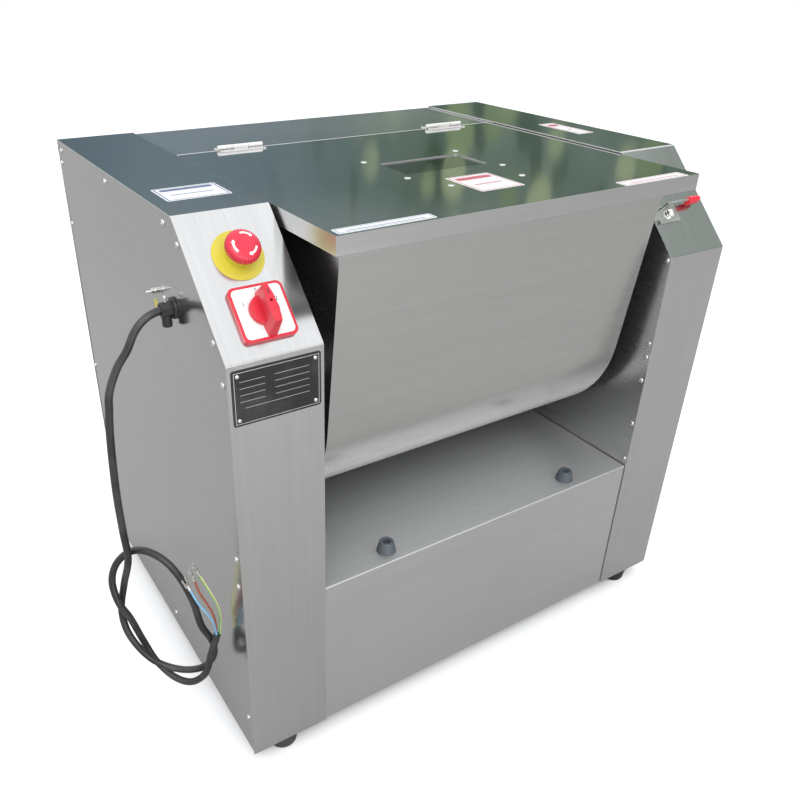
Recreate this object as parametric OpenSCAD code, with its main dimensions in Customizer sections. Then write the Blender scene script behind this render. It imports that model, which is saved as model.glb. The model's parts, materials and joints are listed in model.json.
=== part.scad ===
// Horizontal dough mixer: sheet steel cabinet with two columns, a tilting trough between them,
// a hinged lid, a paddle shaft driven by a V-belt and a gear pair, and a supply cord.
// x runs to the right from the left column, y runs back from the column fronts,
// z runs up from the bottom of the cabinet, and the feet reach below it.

/* [Cabinet] */
// Width of the cabinet over both columns
cabinet_w = 810; // [790:1:860]
// Depth of the cabinet from the column fronts to the back
cabinet_d = 596; // [580:1:660]
// Height of the cabinet without its feet
cabinet_h = 735; // [730:1:760]
// Width of each side column
column_w = 117; // [115:1:125]
// Height taken up by the sloping control face
slope_rise = 126; // [115:1:140]
// Depth taken up by the sloping control face
slope_run = 123; // [115:1:130]
// Thickness of the sheet steel
sheet = 1.5; // [1:0.1:2]
// Width of the return flanges that carry the column panels
flange_w = 30; // [26:1:32]
// Distance by which the column panels lie inside the column edges
panel_recess = 1; // [0.5:0.1:2]
// Height of the ledge below the trough
ledge_h = 252; // [240:1:256]
// Depth of the ledge
ledge_d = 330; // [300:1:345]
// Distance from the column fronts back to the lower front panel
front_recess = 2; // [1:0.5:4]

/* [Feet and base] */
// Height of the rubber feet
foot_h = 25; // [20:1:40]
// Diameter of a foot where it meets the cabinet
foot_dia = 48; // [40:1:50]
// Distance of the foot centres from the sides of the cabinet
foot_inset_x = 56; // [50:1:60]
// Distance of the foot centres from the front and the back of the cabinet
foot_inset_y = 24.5; // [22:0.5:26]
// Leg width of the base frame's angle steel
angle_w = 30; // [26:1:34]
// Thickness of the base frame's angle steel
angle_t = 3; // [2:0.5:4]
// Thickness of the two plates that carry the bearings
frame_plate_t = 8; // [6:0.5:10]

/* [Trough] */
// Height of the shaft and tilt axis above the cabinet bottom
axis_z = 479; // [477:1:481]
// Distance of the axis behind the column fronts
axis_y = 212; // [210:1:214]
// Outer radius of the rounded trough bottom
trough_r = 170; // [165:1:171]
// Lean of the trough's front wall, in degrees
wall_lean = 6.5; // [5:0.5:8]
// Gap between each trough end and the column beside it
trough_gap = 29; // [26:1:32]
// Thickness of the trough's wrapped sheet
trough_t = 2; // [1.5:0.1:2.5]
// Thickness of the trough's end plates
trough_end_t = 3; // [2:0.1:4]
// Height of the front rim above the axis
front_rim_h = 245; // [235:1:247]
// Radius about the axis to which the trough's back edge is cut to pass below the lid
tilt_clear_r = 248; // [240:0.5:249]
// Outer diameter of the sleeves that the trough turns on
trunnion_dia = 66; // [62:1:68]

/* [Lid] */
// Gap between the lid and the columns
lid_side_gap = 4.5; // [3:0.5:6]
// Distance that the lid reaches out in front of the columns
lid_overhang = 17; // [14:1:20]
// Depth of the lips round the lid
lid_lip = 21; // [18:1:24]
// Distance of the lid's top below the column tops
lid_drop = 2.5; // [1:0.5:3]
// Distance of the hinge line behind the column fronts
hinge_y = 418; // [414:1:424]
// Width of the window in the lid
window_w = 138; // [120:1:150]
// Depth of the window in the lid, front to back
window_d = 70; // [60:1:76]
// Length of each butt hinge
hinge_len = 70; // [60:1:80]
// Width of one hinge leaf
hinge_leaf_w = 15; // [12:1:18]
// Diameter of the hinge pins
hinge_pin_dia = 4; // [3:0.5:4.5]

/* [Mixing shaft] */
// Diameter of the mixing shaft
shaft_dia = 40; // [36:1:42]
// Reach of the paddle blades from the axis
paddle_reach = 158; // [140:1:160]
// Diameter of the paddle arms
paddle_arm_dia = 22; // [18:1:24]
// Length of a paddle blade along the shaft
paddle_blade_l = 84; // [70:1:88]
// Width of a paddle blade
paddle_blade_w = 42; // [36:1:48]
// Thickness of a paddle blade
paddle_blade_t = 8; // [6:1:10]
// Number of paddles
paddle_count = 5; // [3:1:5]

/* [Drive] */
// Module of the gear teeth
gear_module = 3.5; // [3.3:0.05:3.6]
// Teeth on the main gear
gear_teeth = 84; // [80:1:86]
// Teeth on the pinion
pinion_teeth = 18; // [17:1:20]
// Face width of the gears
gear_w = 25; // [20:1:28]
// Direction from the main axis to the countershaft, in degrees
counter_angle = -55; // [-60:1:-50]
// Diameter of the countershaft
counter_dia = 25; // [22:1:28]
// Pitch radius of the large pulley
big_pulley_r = 100; // [90:1:104]
// Pitch radius of the motor pulley
small_pulley_r = 30; // [28:1:36]
// Width of the pulleys
pulley_w = 20; // [18:1:22]
// Distance of the motor behind the column fronts
motor_y = 300; // [290:1:310]
// Radius of the motor body
motor_r = 68; // [60:1:70]
// Length of the motor body
motor_len = 200; // [180:1:220]
// Diameter of the motor shaft
motor_shaft_dia = 24; // [19:1:26]

/* [Controls] */
// Distance of the emergency stop from the left side
estop_x = 58; // [54:1:62]
// Distance of the emergency stop down the slope from its top edge
estop_s = 57; // [52:1:60]
// Diameter of the yellow disc
estop_disc_dia = 60; // [50:1:64]
// Diameter of the mushroom head
estop_head_dia = 40; // [36:1:44]
// Travel of the mushroom head
estop_travel = 5; // [3:0.5:6]
// Distance of the rotary switch from the left side
switch_x = 60; // [57:1:63]
// Distance of the rotary switch down the slope from its top edge
switch_s = 127; // [125:0.5:129]
// Side of the square switch plate
switch_side = 64; // [60:1:66]
// Width of the nameplate
nameplate_w = 108; // [100:1:110]
// Height of the nameplate
nameplate_h = 67; // [60:1:70]
// Distance of the nameplate's centre below the control face
nameplate_drop = 40.5; // [38:0.5:60]

/* [Cord] */
// Diameter of the supply cord
cord_dia = 10; // [8:0.5:10.5]
// Diameter of the wires in the cord
wire_dia = 3; // [2.5:0.1:3.4]
// Height of the cable gland above the cabinet bottom
gland_z = 624; // [615:1:631]
// Distance of the cable gland behind the column fronts
gland_y = 144; // [140:1:147]

/* [Hidden] */
$fn = 64;

// A unit clearance, a running fit and the overrun of cuts
gap = 0.3;
running_fit = 0.05;
overrun = 2;

// Upright part of the column fronts and the slope of the control faces
column_front_h = cabinet_h - slope_rise;
slope_len = norm([slope_run, slope_rise]);
slope_angle = atan2(slope_rise, slope_run);

// Places across the column, from the outer face inwards
flange_x = panel_recess + sheet;
base_x = flange_x + sheet;
inner_flange_x = column_w - flange_x - sheet;
plate_gap = 2;
frame_plate_x = inner_flange_x - plate_gap - frame_plate_t;
trough_x = column_w + trough_gap;
trough_len = cabinet_w - 2 * trough_x;
back_y = cabinet_d - sheet;
panel_gap = 0.8;
inner_panel_z = angle_w + gap;

// Screws
screw_dia = 3.8;
screw_hole_dia = 4;
screw_head_dia = 8;
screw_head_h = 2;
screw_len = 8;
screw_top_share = 0.8;
screw_inset = 14;

// Shares of the panel's edges at which its screws sit
rear_screw_shares = [0.493, 0.829, 0.955];
top_screw_shares = [0.09, 0.539, 1];
slope_screw_shares = [0.14, 0.8];
front_screw_shares = [0.08, 0.471, 0.542, 0.931];
bottom_screw_shares = [0.5];
bottom_screw_flange_share = 0.88;
inner_screw_shares = [0.034, 0.221, 0.44, 0.552, 0.616, 0.985];

// Base frame and motor rails
foot_floor_share = 0.84;
stud_dia = 10;
stud_nut_dia = 18;
stud_nut_h = 8;
stud_depth = 12;
rail_w = 30;
rail_h = 30;
rail_t = 4;
frame_plate_inset = 12;

// Bumpers on the ledge
bumper_spread_share = 0.602;
bumper_y = 27;
bumper_dia = 28;
bumper_top_dia = 20;
bumper_h = 16;
bumper_hole_dia = 11;
bumper_hole_depth = 8;
bumper_screw_dia = 5;

// Trough outline about its axis
trough_steps = 31;
edge_steps = 8;
rear_rim_h = sqrt(tilt_clear_r * tilt_clear_r - trough_r * trough_r);
wall_foot = [-trough_r * cos(wall_lean), -trough_r * sin(wall_lean)];
lean_dir = [-sin(wall_lean), cos(wall_lean)];
rim_bar_dia = 8;
trunnion_flange_dia = 110;
trunnion_flange_t = 6;
trunnion_end_gap = 1;
seal_w = 9;
trunnion_clearance = 5;
trunnion_bore_dia = shaft_dia + 2 * trunnion_clearance;
bush_wall = 6;
bush_flange_w = 14;
bush_flange_dia = trunnion_dia + 2 * bush_flange_w;
bush_flange_t = 1.6;
bush_hole_dia = bush_flange_dia + bush_wall;

// Bearings
bearing_flange_side = 110;
bearing_flange_t = 12;
bearing_h = 24;
bearing_boss_dia = 84;
counter_flange_side = 76;
counter_boss_dia = 58;
counter_bearing_h = 20;
bearing_hole_dia = 10;
bearing_hole_share = 0.36;

// Lid details
lid_z = cabinet_h - lid_drop;
lid_w = cabinet_w - 2 * column_w - 2 * lid_side_gap;
lid_x = column_w + lid_side_gap;
lid_seam = 1;
window_y = 203;
window_offset = 4;
window_corner = 6;
pane_margin = 26;
pane_t = 2;
rivet_dia = 4;
rivet_head_dia = 9;
rivet_head_h = 1.2;
rivet_spread = [80, 52];
spare_rivet_offsets = [[-54, -109], [62, -111]];
hinge_x_share = 0.2697;
hinge_leaf_t = 1.5;
knuckle_r = 3.5;
knuckle_lift = 3.7;
knuckle_gap = 0.3;
knuckle_leaf_gap = 0.5;
hinge_z = lid_z + knuckle_lift;
pin_end = 1;
apron_gap = 4;
apron_y = axis_y + trough_r + apron_gap;
apron_step = 7;
apron_h = 88;
apron_z = lid_z - apron_step - apron_h;

// Mixing shaft and gear places along x, from the inner plate on the right side
shaft_end_left = 26;
gear_gap = 4;
gear_x = frame_plate_x - bearing_h - gear_gap;
pulley_gap = 6;
pulley_x = gear_x - gear_w - pulley_gap;
bracket_gap = 3;
bracket_x = pulley_x - pulley_w - bracket_gap;
bracket_t = 8;
bracket_w = 44;
bracket_reach = 139;
bracket_angle = 26.3;
bracket_spacer_dia = 20;
shaft_tail = 8;
gear_hub_dia = 76;
gear_web_share = 0.45;
gear_backlash = 0.35;
gear_pressure = 20;
pinion_r = gear_module * pinion_teeth / 2;
gear_r = gear_module * gear_teeth / 2;
counter_y = axis_y + (gear_r + pinion_r) * cos(counter_angle);
counter_z = axis_z + (gear_r + pinion_r) * sin(counter_angle);

// Pulley groove and belt section
groove_top = 7.2;
groove_foot = 3.6;
groove_rise = 4;
groove_depth = 9;
belt_rise = 3;
belt_depth = 5;
belt_top = 5.5;
belt_foot = 3.8;
belt_steps = 24;
pulley_hub_dia = 50;
pulley_web_share = 0.35;

// Motor
motor_foot_lift = 12;
motor_z = angle_t + rail_h + motor_r + motor_foot_lift;
motor_end_gap = 20;
motor_x = column_w + motor_end_gap;
motor_shield_t = 14;
motor_shield_rise = 3;
motor_foot_w = 34;
motor_foot_t = 8;
motor_fin_depth = 5;
motor_fins = 18;
terminal_side = 80;
terminal_h = 42;
fan_cover_len = 46;
fan_cover_t = 2;
motor_shaft_hole_dia = 62;
rail_inset_share = 0.2;

// Controls
disc_t = 1;
estop_collar_dia = 30;
estop_collar_h = 8;
estop_stem_dia = 16;
estop_spigot_dia = 10;
estop_spigot_h = 6;
estop_thread_dia = 22;
estop_hole_dia = 22.4;
estop_nut_h = 6;
estop_contact_w = 40;
estop_contact_h = 45;
estop_head_h = 13;
estop_head_gap = 6;
estop_rim_steps = 36;
switch_t = 6;
switch_corner = 7;
switch_frame = 3;
switch_body_side = 48;
switch_body_h = 52;
switch_neck_dia = 20;
switch_hole_dia = 22;
knob_base_dia = 34;
knob_base_h = 7;
knob_foot_reach = [-30, 22];
knob_top_reach = [-24, 19.5];
knob_grip_w = 12;
knob_grip_h = 28;
knob_end_share = 0.4;
knob_hole_dia = 3.4;
knob_hole_depth = 12;
knob_spindle_dia = 6;
nameplate_t = 0.8;
nameplate_corner = 3;
nameplate_z = column_front_h - nameplate_drop;
nameplate_rivet_inset = 7;
nameplate_rivet_dia = 5;

// Cable gland and earth stud
gland_flange_dia = 26;
gland_flange_h = 3.5;
gland_hex_dia = 19;
gland_len = 16;
gland_mouth_play = 3;
gland_mouth_depth = 3.4;
gland_boss_dia = 12;
gland_boss_out = 10;
gland_boss_len = 21;
gland_hole_dia = 16.4;
gland_thread_dia = 16;
gland_thread_len = 14;
gland_nut_dia = 25;
gland_nut_h = 6;
earth_stud_dia = 4;
earth_stud_len = 27;
earth_stud_in = 12;
earth_stud_y = 196;
earth_stud_z = 628;
earth_nut_dia = 8;
earth_nut_h = 4;
earth_washer_dia = 9;
earth_washer_t = 1;

// Trough latch on the right column's slope
latch_inset = 82;
latch_x = cabinet_w - latch_inset;
latch_s = 110;
latch_plate_w = 42;
latch_plate_h = 26;
latch_plate_t = 3;
latch_pivot_share = 0.62;
latch_nose_w = 12;
latch_nose_gap = 1;
latch_strip_h = 15;
latch_strip_start = -9;
latch_strip_end = 60;
latch_grip_start = 37;
latch_grip_end = 63;
latch_grip_w = 11;
latch_grip_h = 17;
latch_bolt_dia = 8;
latch_head_dia = 16;
latch_head_h = 5;
latch_head_share = 0.6;
latch_nut_dia = 15;
latch_washer_dia = 18;
latch_washer_t = 1.5;
latch_hole_dia = 8.2;

// Route of the cord's middle line, from the gland to its end
cord_route = [[-14, 144, 624.3], [-24.8, 144, 621.9], [-33.7, 144, 618], [-42.2, 144, 611.4],
  [-50.3, 144, 601.4], [-59.6, 144.5, 583.7], [-74.2, 145, 563.5], [-86.4, 145.5, 535.5],
  [-90, 146, 511], [-93, 147, 480], [-95.5, 147, 437], [-97, 147, 387], [-96.5, 147.5, 337],
  [-95.5, 149, 289], [-102, 169, 233], [-110, 174, 186], [-107, 164, 145], [-87, 146, 105],
  [-59, 122, 91], [-33, 98, 100], [-18, 83, 126], [-17, 78, 159], [-29, 83, 193],
  [-35, 87, 234], [-45, 95, 272], [-57, 114, 294], [-73, 139, 300], [-90, 159, 292],
  [-107, 172, 269], [-116, 173, 241], [-114, 164, 210], [-103, 160, 179], [-89, 166, 123],
  [-79, 150, 92], [-64, 121, 78], [-48, 94, 85], [-33, 75, 112], [-25, 67, 152],
  [-18, 67, 170], [-13, 68, 182]];
cord_steps = 2;
cord_sides = 10;
wire_routes = [
  [[-15, 66, 183], [-17, 64, 198], [-20, 60, 214], [-27, 58, 232], [-37, 62, 254], [-43, 69, 273]],
  [[-13, 71, 183], [-13, 71, 200], [-16, 69, 218], [-22, 68, 238], [-30, 70, 260], [-35, 73, 282]],
  [[-10, 67, 182], [-9, 65, 200], [-8, 64, 216], [-11, 65, 238], [-19, 70, 263], [-27, 75, 286]]];
wire_steps = 2;
wire_sides = 8;
lug_barrel_dia = 4.6;
lug_barrel_len = 7;
lug_fork_w = 9;
lug_fork_l = 12;
lug_slot_w = 4.2;
lug_t = 0.9;

// Middle of the object's box, about which the finished model is placed
left_reach = -gland_len;
right_reach = cabinet_w - panel_recess + screw_head_h;
mid_x = (left_reach + right_reach) / 2;
mid_y = (cabinet_d - lid_overhang) / 2;

// Placing

// Stands the cabinet on its feet with the middle of its box over the origin
module seat() {
  translate([-mid_x, -mid_y, foot_h]) children();
}

// Turns a drawing in y and z into a slab along x
module slab(x, w) {
  translate([x, 0, 0]) rotate([90, 0, 90]) linear_extrude(w) children();
}

// Points a shape that is built along z down the x axis at a place in y and z
module along_x(x, y, z) {
  translate([x, y, z]) rotate([90, 0, 90]) children();
}

// Mirrors the left half on to the right
module on_right() {
  translate([cabinet_w, 0, 0]) mirror([1, 0, 0]) children();
}

module both_sides() {
  children();
  on_right() children();
}

// Places a shape on the sloping face, x across it and s down from its top edge
module on_slope(x, s) {
  down = s / slope_len;
  translate([x, slope_run * (1 - down), cabinet_h - slope_rise * down])
    rotate([slope_angle, 0, 0]) children();
}

// Outlines

// Height of the slope at depth y, for a sheet face that lies d inside the outer face
function slope_z(y, d) = column_front_h + (y * slope_rise - d * slope_len) / slope_run;

// Depth of the slope at height z, for a face that lies d inside the outer face
function slope_y(z, d) = ((z - column_front_h) * slope_run + d * slope_len) / slope_rise;

// Side view of the column, d inside the outer face, down to height z0 and back to y1
function column_outline(d, z0, y1) = [[d, z0], [d, slope_z(d, d)],
  [slope_y(cabinet_h - d, d), cabinet_h - d], [y1, cabinet_h - d], [y1, z0]];

// Arc points about the origin
function arc(r, a0, a1, n) = [for (i = [0:n]) let (a = a0 + (a1 - a0) * i / n) [r * cos(a), r * sin(a)]];

// Rectangle with round corners about the origin
function round_box(w, h, r) = [for (q = [0:3]) let (sx = q == 0 || q == 3 ? 1 : -1, sy = q < 2 ? 1 : -1)
  for (p = arc(r, 90 * q, 90 * q + 90, 6)) [sx * (w / 2 - r) + p[0], sy * (h / 2 - r) + p[1]]];

// Outline of the trough, d inside its outer face, with the front wall up to height h
function trough_wall_top(d, h) = let (foot = (trough_r - d) / trough_r * wall_foot,
  up = (h - foot[1]) / lean_dir[1]) foot + up * lean_dir;
function trough_bottom(d) = arc(trough_r - d, 180 + wall_lean, 360, trough_steps);

// Cabinet

module column_shell() {
  difference() {
    slab(0, column_w) polygon(column_outline(0, 0, back_y));
    slab(-overrun, column_w + 2 * overrun)
      polygon(column_outline(sheet, -overrun, cabinet_d + overrun));
  }
  flange(flange_x, 0);
  flange(inner_flange_x, inner_panel_z);
}

// One return flange round the column
module flange(x, z0) {
  difference() {
    slab(x, sheet) polygon(column_outline(sheet / 2, z0, back_y));
    slab(x - overrun, sheet + 2 * overrun)
      polygon(column_outline(flange_w, z0 + flange_w, back_y - flange_w));
  }
}

// Places of the screws round a side panel, as [y, z]
function outer_screw_places() = concat(
  [for (k = rear_screw_shares) [back_y - screw_inset / 2, k * cabinet_h]],
  [for (k = top_screw_shares) [slope_run + k * (back_y - slope_run) - screw_inset,
    cabinet_h - screw_inset]],
  [for (k = slope_screw_shares) [k * slope_run + screw_inset, slope_z(k * slope_run, 0)
    - screw_inset / 4]],
  [for (k = front_screw_shares) [screw_inset, k * column_front_h + screw_inset]],
  bottom_screw_places());
function bottom_screw_places() = [for (k = bottom_screw_shares)
  [k * back_y, bottom_screw_flange_share * flange_w]];

// Places of the screws down the front edge of an inner panel, as [y, z]
function inner_screw_places() = [for (k = inner_screw_shares)
  [screw_inset / 2, k * (column_front_h - ledge_h) + ledge_h]];

module screw_holes(places, x, depth = sheet) {
  for (p = places) along_x(x - overrun, p[0], p[1])
    cylinder(d = screw_hole_dia, h = depth + 2 * overrun);
}

module column_holes() {
  screw_holes(outer_screw_places(), flange_x);
  screw_holes(inner_screw_places(), inner_flange_x);
}

module left_column_cover() {
  color("silver") seat() difference() {
    column_shell();
    column_holes();
    on_slope(estop_x, estop_s) translate([0, 0, -sheet - overrun])
      cylinder(d = estop_hole_dia, h = sheet + 2 * overrun);
    on_slope(switch_x, switch_s) translate([0, 0, -sheet - overrun])
      cylinder(d = switch_hole_dia, h = sheet + 2 * overrun);
  }
}

module right_column_cover() {
  color("silver") seat() difference() {
    on_right() difference() {
      column_shell();
      column_holes();
    }
    on_slope(latch_x, latch_s) translate([0, 0, -sheet - overrun])
      cylinder(d = latch_hole_dia, h = sheet + 2 * overrun);
  }
}

// The outer panel of a column
module side_panel() {
  difference() {
    slab(panel_recess, sheet) polygon(column_outline(sheet + panel_gap, sheet, back_y - panel_gap));
    screw_holes(outer_screw_places(), panel_recess);
  }
}

module left_side_panel() {
  color("darkgray") seat() difference() {
    side_panel();
    along_x(panel_recess - overrun, gland_y, gland_z) cylinder(d = gland_hole_dia, h = sheet + 2 * overrun);
    along_x(panel_recess - overrun, earth_stud_y, earth_stud_z)
      cylinder(d = earth_stud_dia + 2 * gap, h = sheet + 2 * overrun);
  }
}

module right_side_panel() {
  color("darkgray") seat() on_right() side_panel();
}

// The panel of a column that faces the trough
module inner_panel() {
  x = column_w - panel_recess - sheet;
  difference() {
    slab(x, sheet)
      polygon(column_outline(sheet + panel_gap, inner_panel_z + panel_gap, back_y - panel_gap));
    screw_holes(inner_screw_places(), x);
    along_x(x - overrun, axis_y, axis_z) cylinder(d = bush_hole_dia, h = sheet + 2 * overrun);
  }
}

module left_inner_panel() {
  color("gray") seat() inner_panel();
}

module right_inner_panel() {
  color("gray") seat() on_right() difference() {
    inner_panel();
    along_x(inner_flange_x, motor_y, motor_z)
      cylinder(d = motor_shaft_hole_dia + motor_shield_rise, h = column_w - inner_flange_x);
  }
}

// Lower front panel, bent back at the top into the ledge
module front_panel() {
  x = column_w + gap;
  lip = angle_w / 2;
  color("silver") seat() slab(x, cabinet_w - 2 * x) polygon([[front_recess, 0],
    [front_recess, ledge_h], [ledge_d, ledge_h], [ledge_d, ledge_h - lip],
    [ledge_d - sheet, ledge_h - lip], [ledge_d - sheet, ledge_h - sheet],
    [front_recess + sheet, ledge_h - sheet], [front_recess + sheet, 0]]);
}

// Back panel with two banks of cooling slots, lower between the columns
vent_rows = 7;
vent_pitch = 16;
vent_w = 70;
vent_h = 5;
vent_z = 120;
vent_x_shares = [0.3, 0.7];

module rear_panel() {
  color("silver") seat() difference() {
    translate([0, back_y, 0]) cube([cabinet_w, sheet, cabinet_h]);
    for (k = vent_x_shares, row = [0:vent_rows - 1])
      translate([k * cabinet_w - vent_w / 2, back_y - overrun, vent_z + row * vent_pitch])
        cube([vent_w, sheet + 2 * overrun, vent_h]);
    translate([column_w, back_y - overrun, lid_z])
      cube([cabinet_w - 2 * column_w, sheet + 2 * overrun, lid_drop + overrun]);
  }
}

// Fixed plate behind the lid, stepped down under the lid and bent into an apron behind the trough
module rear_top_plate() {
  x = column_w + gap;
  y0 = hinge_y + lid_seam;
  low = lid_z - apron_step;
  color("silver") seat() slab(x, cabinet_w - 2 * x) polygon([[y0, lid_z], [back_y, lid_z],
    [back_y, lid_z - sheet], [y0 + sheet, lid_z - sheet], [y0 + sheet, low - sheet],
    [apron_y + sheet, low - sheet], [apron_y + sheet, apron_z], [apron_y, apron_z],
    [apron_y, low], [y0, low]]);
}

// Base

// One length of angle steel along x, its corner at the origin
module angle_bar(l) {
  slab(0, l) polygon([[0, 0], [angle_w, 0], [angle_w, angle_t], [angle_t, angle_t],
    [angle_t, angle_w], [0, angle_w]]);
}

module base_frame() {
  y0 = front_recess + sheet;
  w = cabinet_w - 2 * base_x;
  color("dimgray") seat() difference() {
    union() {
      translate([base_x, y0, 0]) angle_bar(w);
      translate([base_x, back_y, 0]) mirror([0, 1, 0]) angle_bar(w);
      both_sides() translate([base_x, y0, 0]) mirror([1, -1, 0]) angle_bar(back_y - y0);
      motor_rails();
    }
    foot_places() translate([0, 0, -overrun]) cylinder(d = stud_dia + gap, h = angle_t + 2 * overrun);
    both_sides() screw_holes(bottom_screw_places(), base_x, angle_t);
  }
}

// Two inverted channels across the base that carry the motor
module motor_rails() {
  x0 = cabinet_w - motor_x - motor_len;
  y0 = front_recess + sheet + angle_t;
  for (k = [rail_inset_share, 1 - rail_inset_share])
    translate([x0 + k * motor_len - rail_w / 2, y0, angle_t]) difference() {
      cube([rail_w, back_y - angle_t - y0, rail_h]);
      translate([rail_t, -overrun, -overrun])
        cube([rail_w - 2 * rail_t, cabinet_d, rail_h - rail_t + overrun]);
    }
}

module foot_places() {
  for (x = [foot_inset_x, cabinet_w - foot_inset_x], y = [foot_inset_y, cabinet_d - foot_inset_y])
    translate([x, y, 0]) children();
}

module feet() {
  color("black") seat() foot_places() difference() {
    translate([0, 0, -foot_h]) cylinder(d1 = foot_dia * foot_floor_share, d2 = foot_dia, h = foot_h);
    translate([0, 0, -stud_depth]) cylinder(d = stud_dia + 2 * running_fit, h = stud_depth + overrun);
  }
}

module foot_studs() {
  color("lightgray") seat() foot_places() {
    translate([0, 0, -stud_depth]) cylinder(d = stud_dia, h = stud_depth + angle_t + stud_nut_h + overrun);
    translate([0, 0, angle_t]) cylinder(d = stud_nut_dia, h = stud_nut_h, $fn = 6);
  }
}

module frame_plate() {
  difference() {
    slab(frame_plate_x, frame_plate_t)
      polygon(column_outline(frame_plate_inset, angle_t, cabinet_d - frame_plate_inset));
    along_x(frame_plate_x - overrun, axis_y, axis_z)
      cylinder(r = trunnion_dia / 2 + bush_wall + running_fit, h = frame_plate_t + 2 * overrun);
  }
}

module left_frame_plate() {
  color("slategray") seat() frame_plate();
}

module right_frame_plate() {
  color("slategray") seat() on_right() difference() {
    frame_plate();
    along_x(frame_plate_x - overrun, motor_y, motor_z)
      cylinder(d = motor_shaft_hole_dia, h = frame_plate_t + 2 * overrun);
    along_x(frame_plate_x - overrun, counter_y, counter_z)
      cylinder(d = counter_dia + 2 * gap, h = frame_plate_t + 2 * overrun);
  }
}

// Ledge bumpers and screws

module bumper_places() {
  for (s = [-bumper_spread_share, bumper_spread_share])
    translate([cabinet_w / 2 + s * (cabinet_w / 2 - column_w), bumper_y, ledge_h]) children();
}

module ledge_bumpers() {
  color("dimgray") seat() bumper_places() difference() {
    cylinder(d1 = bumper_dia, d2 = bumper_top_dia, h = bumper_h);
    translate([0, 0, bumper_h - bumper_hole_depth])
      cylinder(d = bumper_hole_dia, h = bumper_hole_depth + overrun);
    translate([0, 0, -overrun]) cylinder(d = bumper_screw_dia + gap, h = bumper_h);
  }
}

module bumper_screws() {
  color("silver") seat() bumper_places() {
    translate([0, 0, bumper_h - bumper_hole_depth])
      cylinder(d = bumper_hole_dia - 4 * gap, h = screw_head_h);
    cylinder(d = bumper_screw_dia, h = bumper_h - bumper_hole_depth);
  }
}

// One pan-head screw whose head rests on the plane of its origin and points up
module pan_screw() {
  cylinder(d1 = screw_head_dia, d2 = screw_head_dia * screw_top_share, h = screw_head_h);
  translate([0, 0, -screw_len]) cylinder(d = screw_dia, h = screw_len);
}

module panel_screws() {
  color("gainsboro") seat() both_sides() {
    for (p = outer_screw_places()) translate([panel_recess, p[0], p[1]]) rotate([0, -90, 0]) pan_screw();
    for (p = inner_screw_places()) translate([column_w - panel_recess, p[0], p[1]])
      rotate([0, 90, 0]) pan_screw();
  }
}

// Controls

module nameplate() {
  color("black") seat() translate([column_w / 2, 0, nameplate_z]) rotate([90, 0, 0])
    linear_extrude(nameplate_t) polygon(round_box(nameplate_w, nameplate_h, nameplate_corner));
}

module nameplate_rivets() {
  color("silver") seat() for (sx = [-1, 1], sz = [-1, 1])
    translate([column_w / 2 + sx * (nameplate_w / 2 - nameplate_rivet_inset), -nameplate_t,
      nameplate_z + sz * (nameplate_h / 2 - nameplate_rivet_inset)]) rotate([90, 0, 0])
      cylinder(d1 = nameplate_rivet_dia, d2 = nameplate_rivet_dia / 2, h = rivet_head_h);
}

module estop_disc() {
  color("yellow") seat() on_slope(estop_x, estop_s) difference() {
    cylinder(d = estop_disc_dia, h = disc_t);
    translate([0, 0, -overrun]) cylinder(d = estop_hole_dia, h = disc_t + 2 * overrun);
  }
}

// Collar above the panel, thread and nut below it, and the contact block
module estop_body() {
  color("gold") seat() on_slope(estop_x, estop_s) difference() {
    union() {
      translate([0, 0, disc_t]) cylinder(d = estop_collar_dia, h = estop_collar_h);
      translate([0, 0, -sheet - 2 * estop_nut_h])
        cylinder(d = estop_thread_dia, h = 2 * estop_nut_h + sheet + disc_t + overrun);
      translate([0, 0, -sheet - estop_nut_h]) cylinder(d = estop_collar_dia, h = estop_nut_h, $fn = 6);
      translate([-estop_contact_w / 2, -estop_contact_w / 2, -sheet - 2 * estop_nut_h - estop_contact_h])
        cube([estop_contact_w, estop_contact_w, estop_contact_h + overrun / 2]);
    }
    translate([0, 0, -estop_nut_h - sheet])
      cylinder(d = estop_stem_dia + 2 * running_fit, h = 4 * estop_nut_h + estop_collar_h);
  }
}

estop_stem_foot = -estop_travel / 3;
estop_head_z = disc_t + estop_collar_h + estop_head_gap;

module estop_stem() {
  color("firebrick") seat() on_slope(estop_x, estop_s) {
    translate([0, 0, estop_stem_foot])
      cylinder(d = estop_stem_dia, h = estop_head_z - estop_stem_foot - running_fit);
    cylinder(d = estop_spigot_dia, h = estop_head_z + estop_spigot_h);
  }
}

// Mushroom head with a scalloped rim
module estop_head() {
  color("red") seat() on_slope(estop_x, estop_s) translate([0, 0, estop_head_z]) difference() {
    union() {
      linear_extrude(estop_head_h * 0.55) polygon([for (i = [0:4 * estop_rim_steps - 1])
        let (a = i * 90 / estop_rim_steps, r = estop_head_dia / 2 * (i % 4 < 2 ? 1 : 0.955))
        [r * cos(a), r * sin(a)]]);
      translate([0, 0, estop_head_h * 0.55])
        cylinder(d1 = estop_head_dia * 0.96, d2 = estop_head_dia * 0.8, h = estop_head_h * 0.45);
    }
    translate([0, 0, -overrun])
      cylinder(d = estop_spigot_dia + 2 * running_fit, h = overrun + estop_spigot_h + gap);
  }
}

// Red bezel with a raised frame round the face
module switch_bezel() {
  inner = switch_side - 2 * switch_frame;
  color("crimson") seat() on_slope(switch_x, switch_s) difference() {
    linear_extrude(switch_t) polygon(round_box(switch_side, switch_side, switch_corner));
    translate([0, 0, switch_t - disc_t])
      linear_extrude(switch_t) polygon(round_box(inner, inner, switch_corner - switch_frame / 2));
    translate([0, 0, -overrun]) cylinder(d = switch_neck_dia + gap, h = switch_t + 2 * overrun);
  }
}

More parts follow.
